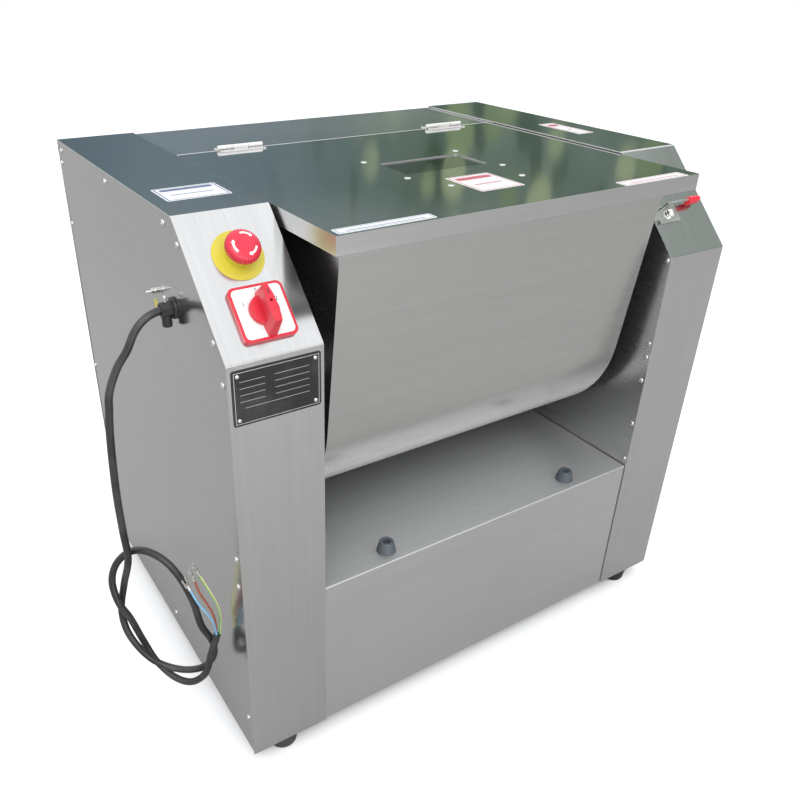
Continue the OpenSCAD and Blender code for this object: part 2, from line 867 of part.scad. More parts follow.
module switch_face() {
  side = switch_side - 2 * switch_frame - 2 * running_fit;
  color("white") seat() on_slope(switch_x, switch_s) translate([0, 0, switch_t - disc_t]) difference() {
    linear_extrude(disc_t - gap / 2) polygon(round_box(side, side, switch_corner - switch_frame / 2));
    translate([0, 0, -overrun]) cylinder(d = switch_neck_dia + gap, h = disc_t + 2 * overrun);
  }
}

// Cam switch behind the panel with its neck through the bezel
module switch_body() {
  neck = sheet + switch_t - disc_t;
  color("dimgray") seat() on_slope(switch_x, switch_s) difference() {
    union() {
      translate([-switch_body_side / 2, -switch_body_side / 2, -sheet - switch_body_h])
        cube([switch_body_side, switch_body_side, switch_body_h]);
      translate([0, 0, -sheet - overrun]) cylinder(d = switch_neck_dia, h = neck + overrun);
    }
    translate([0, 0, -switch_body_h / 2]) cylinder(d = knob_spindle_dia + 2 * running_fit, h = switch_body_h);
  }
}

// Knob with a tall grip that runs to a point at its upper end, and its spindle
module switch_knob() {
  side = knob_grip_w / 2;
  low = knob_foot_reach[0];
  high = knob_foot_reach[1];
  color("red") seat() on_slope(switch_x, switch_s) difference() {
    union() {
      translate([0, 0, switch_t]) cylinder(d = knob_base_dia, h = knob_base_h);
      translate([0, 0, switch_t + gap]) intersection() {
        linear_extrude(knob_grip_h) polygon([[-side * screw_top_share, low], [side * screw_top_share, low],
          [side, low + side], [side, high - 2 * side], [side * knob_end_share, high],
          [-side * knob_end_share, high], [-side, high - 2 * side], [-side, low + side]]);
        slab(-side, knob_grip_w) polygon([[low, 0], [high, 0], [knob_top_reach[1], knob_grip_h],
          [knob_top_reach[0], knob_grip_h]]);
      }
      translate([0, 0, -switch_body_h / 2 + overrun])
        cylinder(d = knob_spindle_dia, h = switch_body_h / 2 - overrun + switch_t + knob_base_h / 2);
    }
    translate([0, 0, switch_t + gap + knob_grip_h - knob_hole_depth])
      cylinder(d = knob_hole_dia, h = knob_hole_depth + overrun);
  }
}

// Cord entry

// Gland with a hexagonal clamp, a wider mouth for the cord, and a boss for its clamping screw underneath
module cable_gland() {
  color("black") seat() translate([panel_recess, gland_y, gland_z]) rotate([0, -90, 0]) difference() {
    union() {
      cylinder(d = gland_flange_dia, h = gland_flange_h);
      cylinder(d = gland_hex_dia, h = gland_len + panel_recess, $fn = 6);
      translate([0, 0, gland_boss_out]) rotate([0, -90, 0]) cylinder(d = gland_boss_dia, h = gland_boss_len);
      translate([0, 0, -gland_thread_len]) cylinder(d = gland_thread_dia, h = gland_thread_len);
    }
    translate([0, 0, -gland_thread_len - overrun])
      cylinder(d = cord_dia, h = gland_thread_len + gland_len / 2 + overrun);
    translate([0, 0, gland_len + panel_recess - gland_mouth_depth])
      cylinder(d = cord_dia + gland_mouth_play, h = gland_mouth_depth + overrun);
  }
}

module gland_nut() {
  color("black") seat() translate([panel_recess + sheet, gland_y, gland_z]) rotate([0, 90, 0]) difference() {
    cylinder(d = gland_nut_dia, h = gland_nut_h, $fn = 6);
    translate([0, 0, -overrun])
      cylinder(d = gland_thread_dia + 2 * running_fit, h = gland_nut_h + 2 * overrun);
  }
}

// Threaded stud through the side panel, clamped by a nut on each side, with a washer and an end nut
module earth_stud() {
  color("silver") seat() translate([panel_recess, earth_stud_y, earth_stud_z]) rotate([0, -90, 0]) {
    translate([0, 0, -earth_stud_in]) cylinder(d = earth_stud_dia, h = earth_stud_len);
    cylinder(d = earth_nut_dia, h = earth_nut_h, $fn = 6);
    translate([0, 0, -sheet - earth_nut_h]) cylinder(d = earth_nut_dia, h = earth_nut_h, $fn = 6);
    translate([0, 0, earth_nut_h]) cylinder(d = earth_washer_dia, h = earth_washer_t);
    translate([0, 0, earth_nut_h + earth_washer_t]) cylinder(d = earth_nut_dia, h = earth_nut_h, $fn = 6);
  }
}

// Point at share t of the smooth curve from route point i to the next
function before(r, i) = i > 0 ? r[i - 1] : 2 * r[0] - r[1];
function after(r, i) = i + 2 < len(r) ? r[i + 2] : 2 * r[len(r) - 1] - r[len(r) - 2];
function curve(r, i, t) = let (a = before(r, i), b = r[i], c = r[i + 1], e = after(r, i))
  (2 * b + (c - a) * t + (2 * a - 5 * b + 4 * c - e) * t * t + (3 * b - a - 3 * c + e) * t * t * t) / 2;
function smooth(r, steps) = concat([for (i = [0:len(r) - 2], k = [0:steps - 1]) curve(r, i, k / steps)],
  [r[len(r) - 1]]);

function unit(v) = v / norm(v);
function heading(p, i) = unit(p[min(i + 1, len(p) - 1)] - p[max(i - 1, 0)]);
function across(v, along) = unit(v - (v * along) * along);

// A side direction for each point, carried along the curve so that the tube doesn't twist
function carried(p) = [for (i = 0, v = across([0, 1, 0], heading(p, 0)); i < len(p);
  i = i + 1, v = i < len(p) ? across(v, heading(p, i)) : v) v];

// A closed tube of n sides along the points
module tube(p, d, n) {
  u = carried(p);
  points = [for (i = [0:len(p) - 1]) let (w = cross(heading(p, i), u[i])) for (k = [0:n - 1])
    p[i] + d / 2 * (cos(360 * k / n) * u[i] + sin(360 * k / n) * w)];
  last = (len(p) - 1) * n;
  polyhedron(points, concat(
    [for (i = [0:len(p) - 2], k = [0:n - 1]) [i * n + k, (i + 1) * n + (k + 1) % n, i * n + (k + 1) % n]],
    [for (i = [0:len(p) - 2], k = [0:n - 1]) [i * n + k, (i + 1) * n + k, (i + 1) * n + (k + 1) % n]],
    [for (k = [1:n - 2]) [0, k, k + 1]],
    [for (k = [1:n - 2]) [last, last + k + 1, last + k]]));
}

module supply_cord() {
  color("black") seat() tube(smooth(cord_route, cord_steps), cord_dia, cord_sides);
}

module cord_wires() {
  seat() for (i = [0:len(wire_routes) - 1]) color(["lightblue", "brown", "lightyellow"][i])
    tube(smooth(wire_routes[i], wire_steps), wire_dia, wire_sides);
}

// A crimped fork at the end of each wire, its tongue in line with the wire
module fork_lugs() {
  color("silver") seat() for (r = wire_routes) {
    end = r[len(r) - 1];
    d = unit(end - r[len(r) - 2]);
    translate(end) rotate([0, acos(d[2]), atan2(d[1], d[0])]) fork_lug();
  }
}

module fork_lug() {
  cylinder(d = lug_barrel_dia, h = lug_barrel_len);
  translate([-lug_t / 2, 0, lug_barrel_len - lug_t]) rotate([90, 0, 90]) linear_extrude(lug_t) difference() {
    translate([-lug_fork_w / 2, 0]) square([lug_fork_w, lug_fork_l]);
    translate([-lug_slot_w / 2, lug_fork_l * 0.4]) square([lug_slot_w, lug_fork_l]);
  }
}

// Lid

module window_outline(margin, r) {
  translate([cabinet_w / 2 + window_offset, window_y])
    polygon(round_box(window_w + 2 * margin, window_d + 2 * margin, r));
}

// Places of the rivets in the lid, as [x, y]
function pane_rivet_places() = [for (sx = [-1, 1], sy = [-1, 1])
  [cabinet_w / 2 + window_offset + sx * rivet_spread[0], window_y + sy * rivet_spread[1]]];
function spare_rivet_places() = [for (p = spare_rivet_offsets)
  [cabinet_w / 2 + window_offset + p[0], window_y + p[1]]];

module lid() {
  y0 = -lid_overhang;
  y1 = hinge_y - lid_seam;
  lip_end = apron_y - apron_gap;
  color("lightgray") seat() difference() {
    union() {
      translate([lid_x, y0, lid_z - sheet]) cube([lid_w, y1 - y0, sheet]);
      translate([lid_x, y0, lid_z - lid_lip]) cube([lid_w, sheet, lid_lip]);
      for (x = [lid_x, lid_x + lid_w - sheet])
        translate([x, y0, lid_z - lid_lip]) cube([sheet, lip_end - y0, lid_lip]);
    }
    translate([0, 0, lid_z - sheet - overrun])
      linear_extrude(sheet + 2 * overrun) window_outline(0, window_corner);
    for (p = concat(pane_rivet_places(), spare_rivet_places()))
      translate([p[0], p[1], lid_z - sheet - overrun])
        cylinder(d = rivet_dia + 2 * running_fit, h = sheet + 2 * overrun);
  }
}

// Clear pane under the lid's window
module window_pane() {
  color("lightcyan") seat() translate([0, 0, lid_z - sheet - pane_t]) difference() {
    linear_extrude(pane_t) window_outline(pane_margin, window_corner);
    for (p = pane_rivet_places()) translate([p[0], p[1], -overrun])
      cylinder(d = rivet_dia + 2 * running_fit, h = pane_t + 2 * overrun);
  }
}

module lid_rivets() {
  color("gainsboro") seat() {
    for (p = pane_rivet_places()) rivet(p, pane_t + sheet);
    for (p = spare_rivet_places()) rivet(p, sheet);
  }
}

module rivet(p, depth) {
  translate([p[0], p[1], lid_z]) {
    cylinder(d1 = rivet_head_dia, d2 = rivet_head_dia / 2, h = rivet_head_h);
    translate([0, 0, -depth]) cylinder(d = rivet_dia, h = depth);
  }
}

module hinge_places() {
  for (k = [hinge_x_share, 1 - hinge_x_share]) translate([k * cabinet_w, hinge_y, hinge_z]) children();
}

// One knuckle between two places along the hinge, with its bore
module knuckle(x, l, bore) {
  along_x(x, 0, 0) difference() {
    cylinder(r = knuckle_r, h = l);
    translate([0, 0, -overrun]) cylinder(d = bore, h = l + 2 * overrun);
  }
}

// A leaf on the side that s points to, notched so that it clears the other leaf's knuckles
module leaf(s, x, l) {
  knuckle_edge = knuckle_r + knuckle_leaf_gap;
  y0 = s > 0 ? knuckle_edge : -hinge_leaf_w;
  y1 = s > 0 ? hinge_pin_dia / 2 + running_fit : -knuckle_edge - overrun / 2;
  translate([-hinge_len / 2, y0, -knuckle_lift]) cube([hinge_len, hinge_leaf_w - knuckle_edge, hinge_leaf_t]);
  translate([x, y1, -knuckle_lift])
    cube([l, knuckle_edge + overrun / 2 - hinge_pin_dia / 2 - running_fit, hinge_leaf_t]);
}

third = hinge_len / 3;

module lid_hinge_leaves() {
  x = -third / 2 + knuckle_gap;
  l = third - 2 * knuckle_gap;
  color("white") seat() hinge_places() {
    knuckle(x, l, hinge_pin_dia + 2 * running_fit);
    leaf(-1, x, l);
  }
}

module fixed_hinge_leaves() {
  color("white") seat() hinge_places() for (x = [-hinge_len / 2, third / 2]) {
    knuckle(x, third, hinge_pin_dia + 2 * running_fit);
    leaf(1, x, third);
  }
}

module hinge_pins() {
  color("silver") seat() hinge_places()
    along_x(-hinge_len / 2 - pin_end, 0, 0) cylinder(d = hinge_pin_dia, h = hinge_len + 2 * pin_end);
}

// Trough

module trough() {
  rear = trough_r;
  outer = concat(trough_bottom(0),
    arc(tilt_clear_r, acos(rear / tilt_clear_r), asin(front_rim_h / tilt_clear_r), edge_steps),
    [trough_wall_top(0, front_rim_h)]);
  inner = concat(trough_bottom(trough_t), [[rear - trough_t, cabinet_h],
    trough_wall_top(trough_t, cabinet_h)]);
  color("silver") seat() difference() {
    union() {
      difference() {
        translate([0, axis_y, axis_z]) slab(trough_x, trough_len) polygon(outer);
        translate([0, axis_y, axis_z]) slab(trough_x + trough_end_t, trough_len - 2 * trough_end_t)
          polygon(inner);
      }
      rim_bar();
    }
    along_x(trough_x - overrun, axis_y, axis_z) cylinder(d = trunnion_bore_dia, h = trough_len + 2 * overrun);
  }
}

// Round bar inside the front rim
module rim_bar() {
  top = trough_wall_top(trough_t, front_rim_h - rim_bar_dia / 2);
  translate([0, axis_y, axis_z]) along_x(trough_x + trough_end_t / 2, top[0] + rim_bar_dia / 2 - gap, top[1])
    cylinder(d = rim_bar_dia, h = trough_len - trough_end_t);
}

// Sleeves on the trough's ends that turn in the frame plates
module trunnions() {
  x0 = frame_plate_x + trunnion_end_gap;
  color("lightgray") seat() both_sides() difference() {
    union() {
      along_x(x0, axis_y, axis_z) cylinder(d = trunnion_dia, h = trough_x - x0);
      along_x(trough_x - trunnion_flange_t, axis_y, axis_z)
        cylinder(d = trunnion_flange_dia, h = trunnion_flange_t);
    }
    along_x(x0 - overrun, axis_y, axis_z) cylinder(d = trunnion_bore_dia, h = trough_x - x0 + 2 * overrun);
  }
}

module trunnion_bushes() {
  color("tan") seat() both_sides() difference() {
    union() {
      along_x(frame_plate_x, axis_y, axis_z) cylinder(r = trunnion_dia / 2 + bush_wall, h = frame_plate_t);
      along_x(frame_plate_x + frame_plate_t, axis_y, axis_z) cylinder(d = bush_flange_dia, h = bush_flange_t);
    }
    along_x(frame_plate_x - overrun, axis_y, axis_z)
      cylinder(d = trunnion_dia + 2 * running_fit, h = frame_plate_t + bush_flange_t + 2 * overrun);
  }
}

module shaft_seals() {
  color("dimgray") seat() both_sides() along_x(trough_x + trough_end_t - seal_w, axis_y, axis_z) difference() {
    cylinder(d = trunnion_bore_dia - 2 * running_fit, h = seal_w);
    translate([0, 0, -overrun]) cylinder(d = shaft_dia + 2 * running_fit, h = seal_w + 2 * overrun);
  }
}

// Mixing shaft and drive

module mixing_shaft() {
  x0 = frame_plate_x - shaft_end_left;
  x1 = cabinet_w - gear_x + gear_w + shaft_tail - gear_gap;
  color("lightgray") seat() along_x(x0, axis_y, axis_z) cylinder(d = shaft_dia, h = x1 - x0);
}

paddle_turn = 72;
paddle_pitch_angle = 30;
paddle_start = 36;

module paddles() {
  pitch = (trough_len - 2 * trough_end_t) / paddle_count;
  color("gainsboro") seat() for (i = [0:paddle_count - 1])
    translate([trough_x + trough_end_t + pitch * (i + 0.5), axis_y, axis_z])
      rotate([paddle_start + i * paddle_turn * 2, 0, 0]) paddle();
}

// One arm and its blade, the arm pointing along z
module paddle() {
  arm_end = paddle_reach - paddle_blade_w / 2;
  difference() {
    union() {
      cylinder(d = paddle_arm_dia, h = arm_end);
      translate([0, 0, arm_end]) rotate([0, 0, paddle_pitch_angle])
        cube([paddle_blade_l, paddle_blade_t, paddle_blade_w], center = true);
    }
    along_x(-paddle_arm_dia, 0, 0) cylinder(d = shaft_dia + 2 * running_fit, h = 2 * paddle_arm_dia);
  }
}

// Square flanged bearing housing on the outer face of a frame plate, built towards the side panel
module flange_bearing(side, boss, h, bore) {
  rotate([0, -90, 0]) difference() {
    union() {
      linear_extrude(bearing_flange_t) polygon(round_box(side, side, side / 8));
      cylinder(d = boss, h = h);
    }
    translate([0, 0, -overrun]) cylinder(d = bore + 2 * running_fit, h = h + 2 * overrun);
    for (sx = [-1, 1], sy = [-1, 1]) translate([sx * side * bearing_hole_share, sy * side * bearing_hole_share,
      -overrun]) cylinder(d = bearing_hole_dia, h = bearing_flange_t + 2 * overrun);
  }
}

module shaft_bearings() {
  color("steelblue") seat() both_sides() translate([frame_plate_x, axis_y, axis_z])
    flange_bearing(bearing_flange_side, bearing_boss_dia, bearing_h, shaft_dia);
}

// Involute gear outline
function spread(a) = tan(a) * 180 / PI - a;
function half_tooth(r, rb, z) = (90 - gear_backlash * 90 / (PI * gear_module)) / z + spread(gear_pressure)
  - spread(acos(min(1, rb / r)));
function gear_points(z, turn) = let (rp = gear_module * z / 2, rb = rp * cos(gear_pressure),
  ro = rp + 0.95 * gear_module, rr = rp - 1.2 * gear_module,
  low = max(rr, rb), radii = [low, (low + rp) / 2, rp, (rp + ro) / 2, ro],
  n = len(radii), foot = rr < rb ? 1 : 0)
  [for (k = [0:z - 1], j = [-foot:2 * n - 1 + foot]) let (
    at = j < n ? max(j, 0) : max(2 * n - 1 - j, 0),
    r = j < 0 || j >= 2 * n ? rr : radii[at],
    s = j < n ? -1 : 1,
    a = turn + 360 * k / z + s * half_tooth(radii[at], rb, z)) [r * cos(a), r * sin(a)]];

module main_gear() {
  web = gear_w * gear_web_share;
  color("darkgoldenrod") seat() along_x(cabinet_w - gear_x, axis_y, axis_z) difference() {
    linear_extrude(gear_w) polygon(gear_points(gear_teeth, counter_angle));
    for (z0 = [-overrun, gear_w / 2 + web / 2]) translate([0, 0, z0]) difference() {
      cylinder(r = gear_r - 4 * gear_module, h = gear_w / 2 - web / 2 + overrun);
      translate([0, 0, -overrun]) cylinder(d = gear_hub_dia, h = gear_w);
    }
    translate([0, 0, -overrun]) cylinder(d = shaft_dia + 2 * running_fit, h = gear_w + 2 * overrun);
  }
}

module pinion() {
  color("goldenrod") seat() along_x(cabinet_w - gear_x, counter_y, counter_z) difference() {
    linear_extrude(gear_w) polygon(gear_points(pinion_teeth, counter_angle + 180 + 180 / pinion_teeth));
    translate([0, 0, -overrun]) cylinder(d = counter_dia + 2 * running_fit, h = gear_w + 2 * overrun);
  }
}

module countershaft() {
  x0 = cabinet_w - frame_plate_x - frame_plate_t / 2;
  x1 = cabinet_w - bracket_x + bracket_t;
  color("lightgray") seat() along_x(x0, counter_y, counter_z) cylinder(d = counter_dia, h = x1 - x0);
}

// Bearing on the frame plate and a bush in the outboard bracket
module counter_bearings() {
  color("steelblue") seat() on_right() {
    translate([frame_plate_x, counter_y, counter_z])
      flange_bearing(counter_flange_side, counter_boss_dia, counter_bearing_h, counter_dia);
    along_x(bracket_x - bracket_t, counter_y, counter_z) difference() {
      cylinder(d = counter_dia + bush_wall, h = bracket_t);
      translate([0, 0, -overrun]) cylinder(d = counter_dia + 2 * running_fit, h = bracket_t + 2 * overrun);
    }
  }
}

module outboard_bracket() {
  color("slategray") seat() on_right() translate([bracket_x - bracket_t, counter_y, counter_z])
    rotate([bracket_angle, 0, 0]) difference() {
      union() {
        translate([0, -bracket_reach - bracket_w / 2, -bracket_w / 2])
          cube([bracket_t, 2 * bracket_reach + bracket_w, bracket_w]);
        for (s = [-1, 1]) along_x(bracket_t / 2, s * bracket_reach, 0)
          cylinder(d = bracket_spacer_dia, h = frame_plate_x - bracket_x + bracket_t / 2);
      }
      along_x(-overrun, 0, 0) cylinder(d = counter_dia + bush_wall + 2 * running_fit, h = bracket_t + 2 * overrun);
    }
}

// Grooved pulley with its middle line along z
module pulley(r, bore, hub) {
  web = pulley_w * pulley_web_share;
  rim = r - groove_depth - 2 * groove_rise;
  difference() {
    rotate_extrude() polygon([[bore / 2 + running_fit, 0], [r + groove_rise, 0],
      [r + groove_rise, pulley_w / 2 - groove_top], [r - groove_depth, pulley_w / 2 - groove_foot],
      [r - groove_depth, pulley_w / 2 + groove_foot], [r + groove_rise, pulley_w / 2 + groove_top],
      [r + groove_rise, pulley_w], [bore / 2 + running_fit, pulley_w]]);
    if (rim > hub / 2) for (z0 = [-overrun, pulley_w / 2 + web / 2]) translate([0, 0, z0]) difference() {
      cylinder(r = rim, h = pulley_w / 2 - web / 2 + overrun);
      translate([0, 0, -overrun]) cylinder(d = hub, h = pulley_w);
    }
  }
}

module big_pulley() {
  color("dimgray") seat() along_x(cabinet_w - pulley_x, counter_y, counter_z)
    pulley(big_pulley_r, counter_dia, pulley_hub_dia);
}

module motor_pulley() {
  color("dimgray") seat() along_x(cabinet_w - pulley_x, motor_y, motor_z)
    pulley(small_pulley_r, motor_shaft_dia, pulley_hub_dia);
}

belt_run = [motor_y - counter_y, motor_z - counter_z];
belt_angle = atan2(belt_run[1], belt_run[0]);
belt_wrap = acos((big_pulley_r - small_pulley_r) / norm(belt_run));

// Side view of the belt, o outside its pitch line
function belt_outline(o) = concat(
  [for (p = arc(big_pulley_r + o, belt_angle + belt_wrap, belt_angle - belt_wrap + 360, belt_steps))
    p + [counter_y, counter_z]],
  [for (p = arc(small_pulley_r + o, belt_angle - belt_wrap, belt_angle + belt_wrap, belt_steps))
    p + [motor_y, motor_z]]);

// The belt's back and its narrower foot, which fit the groove
module drive_belt() {
  color("black") seat() along_x(cabinet_w - pulley_x + pulley_w / 2, 0, 0) {
    belt_layer(belt_top, 0);
    belt_layer(belt_foot, -belt_depth);
  }
}

module belt_layer(half_w, o) {
  translate([0, 0, -half_w]) linear_extrude(2 * half_w) difference() {
    polygon(belt_outline(belt_rise));
    polygon(belt_outline(o));
  }
}

// Motor

module motor() {
  x0 = motor_x;
  r = motor_r + motor_shield_rise;
  base_z = motor_z - angle_t - rail_h;
  color("steelblue") seat() on_right() along_x(x0, motor_y, motor_z) difference() {
    union() {
      cylinder(r = motor_r - motor_fin_depth, h = motor_len);
      for (z0 = [0, motor_len - motor_shield_t]) translate([0, 0, z0]) cylinder(r = r, h = motor_shield_t);
      for (a = [0:motor_fins - 1]) rotate([0, 0, a * 360 / motor_fins + 180 / motor_fins])
        translate([motor_r / 2, -fan_cover_t / 2, motor_shield_t / 2])
          cube([motor_r / 2, fan_cover_t, motor_len - motor_shield_t]);
      translate([-terminal_side / 2, motor_r / 2, motor_len * 0.3])
        cube([terminal_side, motor_r / 2 + terminal_h, terminal_side]);
      for (z0 = [motor_shield_t, motor_len - motor_shield_t - motor_foot_w]) translate([0, 0, z0]) {
        translate([-motor_r, -base_z, 0]) cube([2 * motor_r, motor_foot_t, motor_foot_w]);
        for (s = [-1, 1]) translate([s * motor_r * 0.6 - motor_foot_t / 2, -base_z, 0])
          cube([motor_foot_t, base_z - motor_r * 0.4, motor_foot_w]);
      }
    }
    translate([0, 0, -overrun])
      cylinder(d = motor_shaft_dia + 2 * running_fit, h = motor_len * 0.9);
  }
}

module fan_cover() {
  color("steelblue") seat() on_right() along_x(motor_x + motor_len, motor_y, motor_z) difference() {
    cylinder(r = motor_r, h = fan_cover_len);
    translate([0, 0, -overrun]) cylinder(r = motor_r - fan_cover_t, h = fan_cover_len + overrun - fan_cover_t);
    for (k = [0:5], s = [0.35, 0.62]) rotate([0, 0, 60 * k + 60 * s]) translate([motor_r * s, 0, 0])
      cylinder(d = motor_fin_depth * 2, h = fan_cover_len + overrun);
  }
}

module motor_shaft() {
  x1 = cabinet_w - pulley_x + pulley_w + gap;
  x0 = cabinet_w - motor_x - motor_len * 0.85;
  color("lightgray") seat() along_x(x0, motor_y, motor_z) cylinder(d = motor_shaft_dia, h = x1 - x0);
}

// Trough latch

// Plate that turns on the bolt, with a nose towards the trough and a strip bent up for the grip
module latch_lever() {
  left = -latch_pivot_share * latch_plate_w;
  nose = latch_x - (cabinet_w - trough_x) - latch_nose_gap;
  strip_y = latch_plate_h / 2 - latch_plate_t;
  color("gainsboro") seat() on_slope(latch_x, latch_s) translate([0, 0, gap]) difference() {
    union() {
      translate([left, -latch_plate_h / 2, 0]) cube([latch_plate_w, latch_plate_h, latch_plate_t]);
      translate([-nose, -latch_nose_w / 2, 0])
        cube([nose + left + latch_plate_t, latch_nose_w, latch_plate_t]);
      translate([latch_strip_start, strip_y, 0])
        cube([left + latch_plate_w - latch_strip_start, latch_plate_t, latch_strip_h]);
      translate([latch_strip_start, strip_y, latch_plate_t])
        cube([latch_strip_end - latch_strip_start, latch_plate_t, latch_strip_h - latch_plate_t]);
    }
    translate([0, 0, -overrun])
      cylinder(d = latch_bolt_dia + 2 * running_fit, h = latch_plate_t + 2 * overrun);
  }
}

// Oval sleeve over the end of the strip
module latch_grip() {
  slot_w = latch_plate_t + 2 * running_fit;
  slot_h = latch_strip_h - latch_plate_t + 2 * running_fit;
  color("red") seat() on_slope(latch_x, latch_s)
    translate([latch_grip_start, (latch_plate_h - latch_plate_t) / 2,
      gap + (latch_plate_t + latch_strip_h) / 2]) difference() {
      rotate([0, 90, 0]) linear_extrude(latch_grip_end - latch_grip_start)
        polygon(round_box(latch_grip_h, latch_grip_w, latch_grip_w / 2 - running_fit));
      translate([-overrun, -slot_w / 2, -slot_h / 2])
        cube([latch_strip_end - latch_grip_start + running_fit + overrun, slot_w, slot_h]);
    }
}

module latch_bolt() {
  z0 = latch_plate_t + 2 * gap;
  color("silver") seat() on_slope(latch_x, latch_s) {
    translate([0, 0, z0]) cylinder(d = latch_washer_dia, h = latch_washer_t);
    translate([0, 0, z0 + latch_washer_t])
      cylinder(d1 = latch_head_dia, d2 = latch_head_dia * latch_head_share, h = latch_head_h);
    translate([0, 0, -sheet - 2 * latch_head_h])
      cylinder(d = latch_bolt_dia, h = 2 * latch_head_h + sheet + z0);
    translate([0, 0, -sheet - latch_head_h]) cylinder(d = latch_nut_dia, h = latch_head_h, $fn = 6);
  }
}

left_column_cover();
right_column_cover();
left_side_panel();
right_side_panel();
left_inner_panel();
right_inner_panel();
front_panel();
rear_panel();
rear_top_plate();
base_frame();
left_frame_plate();
right_frame_plate();
feet();
foot_studs();
ledge_bumpers();
bumper_screws();
panel_screws();
nameplate();
nameplate_rivets();
estop_disc();
estop_body();
estop_stem();
estop_head();
switch_bezel();
switch_face();
switch_body();
switch_knob();
cable_gland();
gland_nut();
earth_stud();
supply_cord();
cord_wires();
fork_lugs();
lid();
lid_rivets();
window_pane();
lid_hinge_leaves();
fixed_hinge_leaves();
hinge_pins();
trough();
trunnions();
trunnion_bushes();
shaft_seals();
mixing_shaft();
paddles();
shaft_bearings();
main_gear();
countershaft();
pinion();
big_pulley();
counter_bearings();
outboard_bracket();
motor();
fan_cover();
motor_shaft();
motor_pulley();
drive_belt();
latch_lever();
latch_grip();
latch_bolt();
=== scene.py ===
# A dough mixer with a tilting trough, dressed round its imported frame.
# Lengths in the tables are cabinet millimetres: x from the left outer face, y back from the column
# fronts, z up from the cabinet bottom. at() turns them into the frame's metres.
import json
import math

import bmesh
import bpy
from mathutils import Matrix, Vector

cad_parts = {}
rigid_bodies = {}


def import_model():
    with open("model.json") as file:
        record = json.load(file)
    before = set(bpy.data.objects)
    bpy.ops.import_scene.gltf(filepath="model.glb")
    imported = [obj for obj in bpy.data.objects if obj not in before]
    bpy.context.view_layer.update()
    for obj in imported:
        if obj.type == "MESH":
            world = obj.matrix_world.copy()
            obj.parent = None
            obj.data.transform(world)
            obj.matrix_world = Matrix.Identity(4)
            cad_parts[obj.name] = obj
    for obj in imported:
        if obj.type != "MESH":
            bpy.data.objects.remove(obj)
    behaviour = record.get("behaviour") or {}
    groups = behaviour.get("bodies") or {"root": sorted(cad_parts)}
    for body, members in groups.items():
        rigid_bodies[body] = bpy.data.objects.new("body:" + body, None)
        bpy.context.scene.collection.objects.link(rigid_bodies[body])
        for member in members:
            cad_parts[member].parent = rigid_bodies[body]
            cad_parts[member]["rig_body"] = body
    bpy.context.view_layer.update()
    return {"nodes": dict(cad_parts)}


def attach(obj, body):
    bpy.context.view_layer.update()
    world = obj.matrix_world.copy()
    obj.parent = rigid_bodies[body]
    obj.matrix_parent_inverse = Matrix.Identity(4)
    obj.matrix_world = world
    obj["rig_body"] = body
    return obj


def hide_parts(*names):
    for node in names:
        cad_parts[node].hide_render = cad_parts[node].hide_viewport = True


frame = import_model()

MM = 0.001
MID_X, MID_Y, FOOT_H = 397.5, 289.5, 25.0
CABINET_W, CABINET_D, CABINET_H = 810.0, 596.0, 735.0
COLUMN_W, FRONT_H, SLOPE_RUN = 117.0, 609.0, 123.0
SLOPE_RISE = CABINET_H - FRONT_H
SLOPE_LEN = math.hypot(SLOPE_RUN, SLOPE_RISE)
SLOPE_ANGLE = math.atan2(SLOPE_RISE, SLOPE_RUN)
LID_Z, LEDGE_Z, LEDGE_W = 732.5, 252.0, 576.0
PANEL_INSET = 1.0

# Where the fittings sit: (x, z) or (y, z) on a flat side, (x, s down the slope) on a control face
NAMEPLATE_AT, NAMEPLATE_FACE = (58.5, 568.5), -0.8
WINDOW_AT = (409, 203)
GLAND_AT, EARTH_STUD_AT, EARTH_DOT_AT = (144, 624), (196, 628), (209, 607)
ESTOP_AT, SWITCH_AT, LATCH_AT = (58, 57), (60, 127), (728, 110)
ESTOP_COLLAR_H, SWITCH_BEZEL_H = 15, 6

NODES = frame["nodes"]


def at(x, y, z):
    """A place in cabinet millimetres, in the frame's metres."""
    return Vector(((x - MID_X) * MM, (y - MID_Y) * MM, (z + FOOT_H) * MM))


def upright(x, y, z):
    return Matrix.Translation(at(x, y, z))


def facing(x, y, z, direction, turn=0):
    """Puts a piece that was made along z at a place, its z pointing in a direction."""
    tilt = Vector(direction).to_track_quat("Z", "Y").to_matrix().to_4x4()
    return upright(x, y, z) @ tilt @ Matrix.Rotation(math.radians(turn), 4, "Z")


def on_left_side(y, z):
    return facing(PANEL_INSET, y, z, (-1, 0, 0))


def on_slope(x, s, lift=0, turn=0):
    """On the left or right control face: x across, s down from its top edge, lift outwards."""
    down = s / SLOPE_LEN
    foot = upright(x, SLOPE_RUN * (1 - down), CABINET_H - SLOPE_RISE * down)
    return foot @ Matrix.Rotation(SLOPE_ANGLE, 4, "X") @ Matrix.Translation((0, 0, lift * MM)) \
        @ Matrix.Rotation(math.radians(turn), 4, "Z")


# Camera, fitted to the straight edges of the cabinet in an 800 x 800 picture

